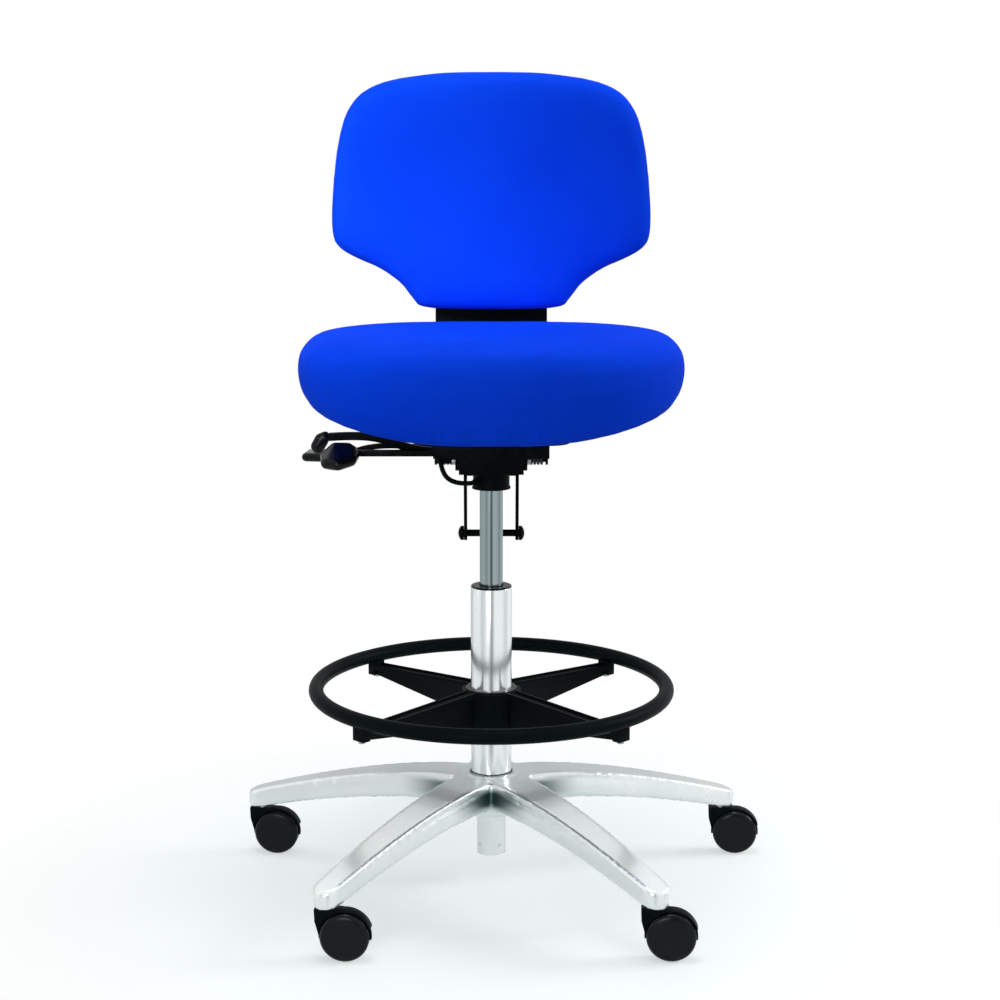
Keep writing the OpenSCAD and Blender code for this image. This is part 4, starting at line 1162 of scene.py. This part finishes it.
@dataclass
class StandTube(Assembly):
    """Sizes of the stand tube, the black rings that paint the shade lines where it meets the hub and the
    black discs on its tail that paint the shade of its notch holes, in millimetres.
    """

    tube_r: float = 25.0
    tube_in_r: float = 23.5
    top_z: float = 371.0
    hub_z: float = 140.0
    cone_z: float = 92.0
    cone_r: float = 22.5
    cone_in_r: float = 21.0
    tail_r: float = 18.0
    tail_in_r: float = 16.0
    tail_top_z: float = 84.0
    tail_z: float = 34.4
    foot_z: float = 38.0
    foot_top_z: float = 42.0
    foot_bore_r: float = 5.3
    edge: float = 0.5
    steps: int = 128
    tail_line_z: float = 86.0
    line_in: float = 0.3
    line_out: float = 0.75
    line_low: float = 0.4
    line_high: float = 0.7
    marks: int = 4
    mark_turn: float = 36.0
    mark_z: float = 47.0
    mark_r: float = 2.0
    mark_dish_r: float = 1.1
    mark_depth: float = 0.5
    mark_proud: float = 0.05
    mark_sunk: float = 0.15
    mark_steps: int = 32

    def build_tube(self) -> None:
        """Builds the chromed tube."""
        tube = turned(rounded([
            (self.tail_r, self.tail_z), (self.tail_r, self.tail_top_z), (self.cone_r, self.cone_z),
            (self.tube_r, self.hub_z), (self.tube_r, self.top_z), (self.tube_in_r, self.top_z),
            (self.tube_in_r, self.hub_z), (self.cone_in_r, self.cone_z), (self.tail_in_r, self.tail_top_z),
            (self.tail_in_r, self.foot_top_z), (self.foot_bore_r, self.foot_top_z),
            (self.foot_bore_r, self.foot_z), (self.tail_in_r, self.foot_z), (self.tail_in_r, self.tail_z),
        ], self.edge), steps=self.steps)
        dress(tube, "chromed_stand_tube", "base", self.palette["chrome"], ("stand_tube",))

    def build_line(self, name: str, r: float, z: float) -> None:
        """Builds a black ring around the tube that paints the shade line where the tube meets the hub.

        Args:
            name: Name of the line.
            r: Radius of the tube there.
            z: Height of the line.
        """
        low, high = z - self.line_low, z + self.line_high
        line = band(r - self.line_in, r + self.line_out, low, high, self.line_in)
        dress(line, name, "base", self.palette["sleeve"])

    def build_hole_shade(self, number: int) -> None:
        """Builds one of the small black discs around the tube's tail, which paint the shade of its notch
        holes.

        Args:
            number: Its number, from 0.
        """
        angle = math.radians(self.mark_turn + 360 * number / self.marks)
        way = Vector((math.cos(angle), math.sin(angle), 0.0))
        # Painted shade: a black dished disc where a notch hole's shade would be.
        section = [(0.0, -self.mark_depth), (self.mark_r, -self.mark_depth), (self.mark_r, self.mark_proud),
                   (self.mark_dish_r, -self.mark_sunk), (0.0, -self.mark_sunk)]
        mark = turned(rounded(section, self.mark_sunk, closed=False), closed=False, steps=self.mark_steps)
        place_along(mark, way * self.tail_r * MM + Vector((0.0, 0.0, self.mark_z * MM)), way)
        dress(mark, f"tail_hole_shade_{number + 1}", "base", self.palette["sleeve"])

    def build(self) -> None:
        """Builds the tube, its painted shade lines and its discs of painted hole shade."""
        self.build_tube()
        # Painted shade: black rings where the tube enters the hub, above and below it.
        self.build_line("tube_shade_line", self.tube_r, self.hub_z)
        self.build_line("tail_shade_line", self.tail_r, self.tail_line_z)
        # Painted shade: black discs stand in for the shade of the notch holes.
        for number in range(self.marks):
            self.build_hole_shade(number)


@dataclass
class GuideBush(Assembly):
    """Sizes of the bush in the tube's mouth, in millimetres, with its heights from the mouth."""

    mouth_z: float = 371.0
    depth: float = 75.0
    in_r: float = 14.1
    out_r: float = 23.4
    lip_r: float = 24.7
    lip_low: float = 0.1
    lip_high: float = 1.2
    crown_r: float = 23.6
    crown: float = 1.9
    funnel_r: float = 16.2
    funnel: float = 0.6
    edge: float = 0.35

    def build(self) -> None:
        """Builds the bush."""
        section = [
            (self.in_r, -self.depth), (self.out_r, -self.depth), (self.out_r, self.lip_low),
            (self.lip_r, self.lip_low), (self.lip_r, self.lip_high), (self.crown_r, self.crown),
            (self.funnel_r, self.crown), (self.in_r, self.funnel),
        ]
        bush = turned(rounded([(r, self.mouth_z + z) for r, z in section], self.edge))
        dress(bush, "column_guide_bush", "base", self.palette["grip"], ("guide_bush",))


@dataclass
class GasCylinder(Assembly):
    """Sizes of the ground gas cylinder, in millimetres."""

    out_r: float = 14.0
    in_r: float = 12.0
    rod_r: float = 5.1
    pin_r: float = 3.1
    low_z: float = 158.0
    floor_z: float = 180.0
    ceiling_z: float = 470.0
    socket_z: float = 492.0
    pin_z: float = 498.0
    high_z: float = 524.0
    taper: float = 1.0
    edge: float = 0.4
    steps: int = 128

    def build(self) -> None:
        """Builds the cylinder with its bores."""
        section = [
            (0.0, self.ceiling_z), (self.in_r, self.ceiling_z), (self.in_r, self.floor_z),
            (self.rod_r, self.floor_z), (self.rod_r, self.low_z), (self.out_r, self.low_z),
            (self.out_r, self.socket_z), (self.out_r - self.taper, self.high_z), (self.pin_r, self.high_z),
            (self.pin_r, self.pin_z), (0.0, self.pin_z),
        ]
        cylinder = turned(rounded(section, self.edge, closed=False), closed=False, steps=self.steps)
        dress(cylinder, "ground_gas_cylinder", "lift", self.palette["ground"],
              ("gas_cylinder",))


@dataclass
class FootRing(Assembly):
    """Sizes of the foot ring, in millimetres."""

    ring_r: float = 213.8
    tube_r: float = 9.0
    ring_z: float = 246.0
    sides: int = 28
    steps: int = 180
    spider_edge: float = 0.9
    knob_edge: float = 1.2
    collar_in_r: float = 25.3
    collar_r: float = 31.5
    collar_low_z: float = 240.8
    collar_top_z: float = 245.4
    collar_edge: float = 0.6

    def build(self) -> None:
        """Builds the hoop, the spider with its collar and the knob."""
        turns = [2 * math.pi * k / self.sides for k in range(self.sides)]
        circle = [(self.ring_r + self.tube_r * math.cos(turn), self.ring_z + self.tube_r * math.sin(turn))
                  for turn in turns]
        hoop = turned(circle, steps=self.steps)
        dress(hoop, "foot_ring_hoop", "foot_ring", self.palette["ring"], ("ring_hoop",))
        spider = soften("ring_spider", self.spider_edge * MM)
        dress(spider, "foot_ring_spider", "foot_ring", self.palette["spider"],
              ("ring_spider",))
        collar = band(self.collar_in_r, self.collar_r, self.collar_low_z, self.collar_top_z, self.collar_edge)
        dress(collar, "foot_ring_collar", "foot_ring", self.palette["grip"])
        knob = soften("clamp_knob", self.knob_edge * MM)
        dress(knob, "clamp_hand_knob", "ring_clamp", self.palette["grip"], ("clamp_knob",))


# Control, carrier and back

@dataclass(frozen=True)
class SoftPiece:
    """How one CAD node is rounded, by an edge in millimetres, and finished."""

    node: str
    body: str
    edge: float
    finish: str = "steel_black"
    slot: str = "black_metal"
    angle: float = 32.0


SOFT_PIECES = (
    SoftPiece("control_housing", "lift", 1.6),
    SoftPiece("lever_bracket", "lift", 0.6),
    SoftPiece("height_lever", "height_handle", 1.2),
    SoftPiece("seat_lever", "seat_handle", 1.2),
    SoftPiece("back_lever", "back_handle", 1.0),
    SoftPiece("seat_plate", "seat", 0.8),
    SoftPiece("seat_board", "seat", 1.5, "cover", "board"),
    SoftPiece("main_shaft", "seat", 0.8),
    SoftPiece("carrier_arms", "carrier", 0.8),
    SoftPiece("cross_bolt", "carrier", 0.7),
    SoftPiece("back_upright", "carrier", 1.4),
    SoftPiece("back_slider", "back", 0.8, "shell", "black_plastic"),
    SoftPiece("back_shell", "back", 1.6, "shell", "black_plastic", 40.0),
    SoftPiece("back_height_lever", "back_catch", 1.2, "grip", "black_plastic"),
)


@dataclass
class Mechanism(Assembly):
    """The control, the levers, the carrier and the back's fittings, with sizes in millimetres."""

    grip_voxel: float = 1.0
    grip_rounds: tuple[tuple[str, int], ...] = (("height", 26), ("seat", 10), ("back", 10))
    spring_growth: float = 0.22
    cable_growth: float = 0.12

    def round_wire(self, node: str, growth: float) -> Piece:
        """Makes a round copy of a wire on the CAD's own route.

        Args:
            node: The CAD node.
            growth: How far its faces move out to make up for the rounding.

        Returns:
            The round copy.
        """
        piece = merged_copy(node)
        apply_modifier(piece, "SUBSURF", levels=2, render_levels=2)
        apply_modifier(piece, "DISPLACE", strength=growth * MM, mid_level=0.0)
        smooth(piece)
        return piece

    def build(self) -> None:
        """Builds the rounded pieces, the three soft grips, the springs and the cable's sleeve."""
        for part in SOFT_PIECES:
            piece = soften(part.node, part.edge * MM, part.angle)
            dress(piece, f"soft_{part.node}", part.body, self.palette[part.finish], (part.node,))
        for which, rounds in self.grip_rounds:
            grip = melted(f"{which}_paddle", self.grip_voxel * MM, rounds)
            dress(grip, f"{which}_grip", f"{which}_handle", self.palette["grip"],
                  (f"{which}_paddle",))
        springs = self.round_wire("torsion_springs", self.spring_growth)
        dress(springs, "round_wire_springs", "seat", self.palette["spring"],
              ("torsion_springs",))
        cable = self.round_wire("control_cable", self.cable_growth)
        dress(cable, "cable_sleeve", "lift", self.palette["sleeve"], ("control_cable",))


# Studio

@dataclass
class Studio:
    """Camera, floor and lamps."""

    camera_y: float = -2.3318
    camera_z: float = 0.8865
    pitch: float = 0.1737
    lens: float = 70.76
    sensor: float = 36.0
    shift: float = 0.0087
    floor_low: Colour = (0.58, 0.595, 0.59)
    floor_high: Colour = (0.61, 0.62, 0.615)
    floor_glow: Colour = (0.53, 0.56, 0.56)
    floor_roughness: float = 0.6
    floor_gloss: float = 0.1
    floor_size: float = 12.0
    floor_cells: int = 8
    patch_scale: float = 1.5
    floor_z: float = -0.2 * MM
    fade: Span = (0.34, 0.75)
    fill: float = 0.26
    fill_colour: Colour = (0.96, 0.98, 1.0)
    flag_top: Span = (0.3, 0.7)
    ceiling: float = 1.15
    flag_cool: float = 1.01
    flags: tuple[Span, ...] = (
        (0.0, 0.6), (0.13, 0.7), (0.2, 1.1), (0.3, 1.1), (0.36, 0.75), (0.44, 1.15),
        (0.5, 0.15), (0.56, 1.15), (0.66, 1.1), (0.74, 0.75), (0.82, 1.1), (1.0, 0.6),
    )
    lamps: tuple[tuple[str, Point, Point, float, float, float], ...] = (
        ("low_softbox", (-0.6, -2.6, 0.6), (0.0, -0.1, 0.3), 0.9, 0.9, 42.0),
        ("key_beam", (-1.4, -2.3, 1.7), (-0.34, 0.1, 0.85), 0.4, 1.15, 20.0),
        ("top_softbox", (-0.1, -0.05, 2.9), (0.0, 0.0, 0.5), 1.2, 27.0, 180.0),
        ("left_softbox", (-2.6, -0.5, 0.8), (0.0, 0.0, 0.3), 1.2, 1.5, 180.0),
        ("right_softbox", (2.5, 0.3, 1.5), (0.0, 0.0, 0.7), 1.0, 30.0, 180.0),
    )

    def add_camera(self) -> None:
        """Adds the camera at the picture's place."""
        data = bpy.data.cameras.new("picture_camera")
        data.lens = self.lens
        data.sensor_width = self.sensor
        data.shift_x = self.shift
        camera = bpy.data.objects.new("picture_camera", data)
        camera.location = (0.0, self.camera_y, self.camera_z)
        camera.rotation_euler = (math.pi / 2 - self.pitch, 0.0, 0.0)
        bpy.context.collection.objects.link(camera)
        bpy.context.scene.camera = camera

    def add_floor(self) -> None:
        """Adds the white floor, which keeps the chair's shadow and fades into the white around it."""
        deselect()
        bpy.ops.mesh.primitive_grid_add(x_subdivisions=self.floor_cells, y_subdivisions=self.floor_cells,
                                        size=self.floor_size, location=(0.0, 0.0, self.floor_z))
        floor = bpy.context.object
        floor.name = "studio_floor"
        seat_in_mesh(floor)
        sheet = new_sheet("pale_floor")
        board = sheet.board
        patches = board.noise(sheet.coords, self.patch_scale, 2.0)
        sheet.feed("Base Color", sheet.between(patches, self.floor_low, self.floor_high))
        sheet.feed("Roughness", self.floor_roughness)
        sheet.feed("Specular IOR Level", self.floor_gloss)
        glow = board.add("ShaderNodeEmission", in_Color=(*self.floor_glow, 1.0))
        lifted = board.add("ShaderNodeAddShader")
        board.join(sheet.shader.outputs[0], lifted.inputs[0])
        board.join(glow.outputs[0], lifted.inputs[1])
        path = board.add("ShaderNodeLightPath")
        passed = board.math("MAXIMUM", path.outputs["Is Glossy Ray"], path.outputs["Is Transmission Ray"])
        seen = board.math("MAXIMUM", path.outputs["Is Camera Ray"], passed)
        near = board.choose(seen, sheet.shader.outputs[0], lifted.outputs[0])
        away = board.add("ShaderNodeVectorMath", operation="LENGTH")
        board.join(sheet.coords, away.inputs[0])
        clear = board.add("ShaderNodeBsdfTransparent")
        whole = board.choose(board.ease(away.outputs["Value"], self.fade), near, clear.outputs[0])
        output = next(n for n in board.tree.nodes if n.type == "OUTPUT_MATERIAL")
        board.join(whole, output.inputs["Surface"])
        floor.data.materials.append(sheet.material)

    def add_lamp(self, name: str, place: Point, aim: Point, size: float, power: float, spread: float) -> None:
        """Adds a soft area lamp.

        Args:
            name: Name of the lamp.
            place: Where it hangs.
            aim: What it points at.
            size: Side of its square in metres.
            power: Power in watts.
            spread: Angle of its grid in degrees; 180 is without one.
        """
        data = bpy.data.lights.new(name, "AREA")
        data.shape = "SQUARE"
        data.size = size
        data.energy = power
        data.spread = math.radians(spread)
        lamp = bpy.data.objects.new(name, data)
        lamp.location = place
        lamp.rotation_euler = (Vector(aim) - Vector(place)).to_track_quat("-Z", "Y").to_euler()
        bpy.context.collection.objects.link(lamp)

    def add_world(self) -> None:
        """Adds the white surroundings: white to the eye, with grey flags that polished metal mirrors."""
        world = bpy.data.worlds.new("white_studio")
        bpy.context.scene.world = world
        world.use_nodes = True
        board = NodeBoard(world.node_tree)
        world.node_tree.nodes.clear()
        path = board.add("ShaderNodeLightPath")
        seen = board.math("MAXIMUM", path.outputs["Is Camera Ray"], path.outputs["Is Transmission Ray"])
        place = board.add("ShaderNodeTexCoord")
        split = board.add("ShaderNodeSeparateXYZ")
        board.join(place.outputs["Generated"], split.inputs[0])
        bearing = board.math("ARCTAN2", split.outputs["X"], board.math("MULTIPLY", split.outputs["Y"], -1.0))
        turn = board.math("MULTIPLY_ADD", bearing, 0.5 / math.pi, 0.5)
        flags = board.add("ShaderNodeValToRGB")
        ramp = flags.color_ramp
        ramp.interpolation = "EASE"
        ramp.elements[0].position, ramp.elements[1].position = self.flags[0][0], self.flags[-1][0]
        for where, _ in self.flags[1:-1]:
            ramp.elements.new(where)
        for stop, (_, level) in zip(ramp.elements, self.flags):
            stop.color = (level, level * self.flag_cool, level * self.flag_cool, 1.0)
        board.join(turn, flags.inputs["Fac"])
        rise = board.ease(split.outputs["Z"], self.flag_top)
        over = board.tint(rise, flags.outputs["Color"], (self.ceiling,) * 3)
        mirrored = board.add("ShaderNodeBackground")
        board.join(over, mirrored.inputs["Color"])
        soft = board.add("ShaderNodeBackground", in_Color=(*self.fill_colour, 1.0), in_Strength=self.fill)
        shown = board.add("ShaderNodeBackground", in_Color=(1.0, 1.0, 1.0, 1.0))
        lit = board.choose(path.outputs["Is Glossy Ray"], soft.outputs[0], mirrored.outputs[0])
        out = board.add("ShaderNodeOutputWorld")
        board.join(board.choose(seen, lit, shown.outputs[0]), out.inputs["Surface"])

    def build(self) -> None:
        """Sets up the picture."""
        self.add_camera()
        self.add_floor()
        self.add_world()
        for lamp in self.lamps:
            self.add_lamp(*lamp)
        bpy.context.scene.view_settings.view_transform = "Standard"


def give(node: str, material: Material) -> None:
    """Gives a CAD node its finish."""
    for place in frame["nodes"][node].material_slots:
        place.material = material


def main() -> None:
    """Builds the chair's looks in order."""
    logging.basicConfig(level=logging.INFO)
    Studio().build()
    palette = new_palette()
    for assembly in (Upholstery, StarBase, Caster, StandTube, GuideBush, GasCylinder, FootRing, Mechanism):
        assembly(palette).build()
    for part in frame["record"]["subparts"]:
        give(part["node"], palette[SLOT_FINISHES[part["material_slot"]]])


if __name__ == "__main__":
    main()
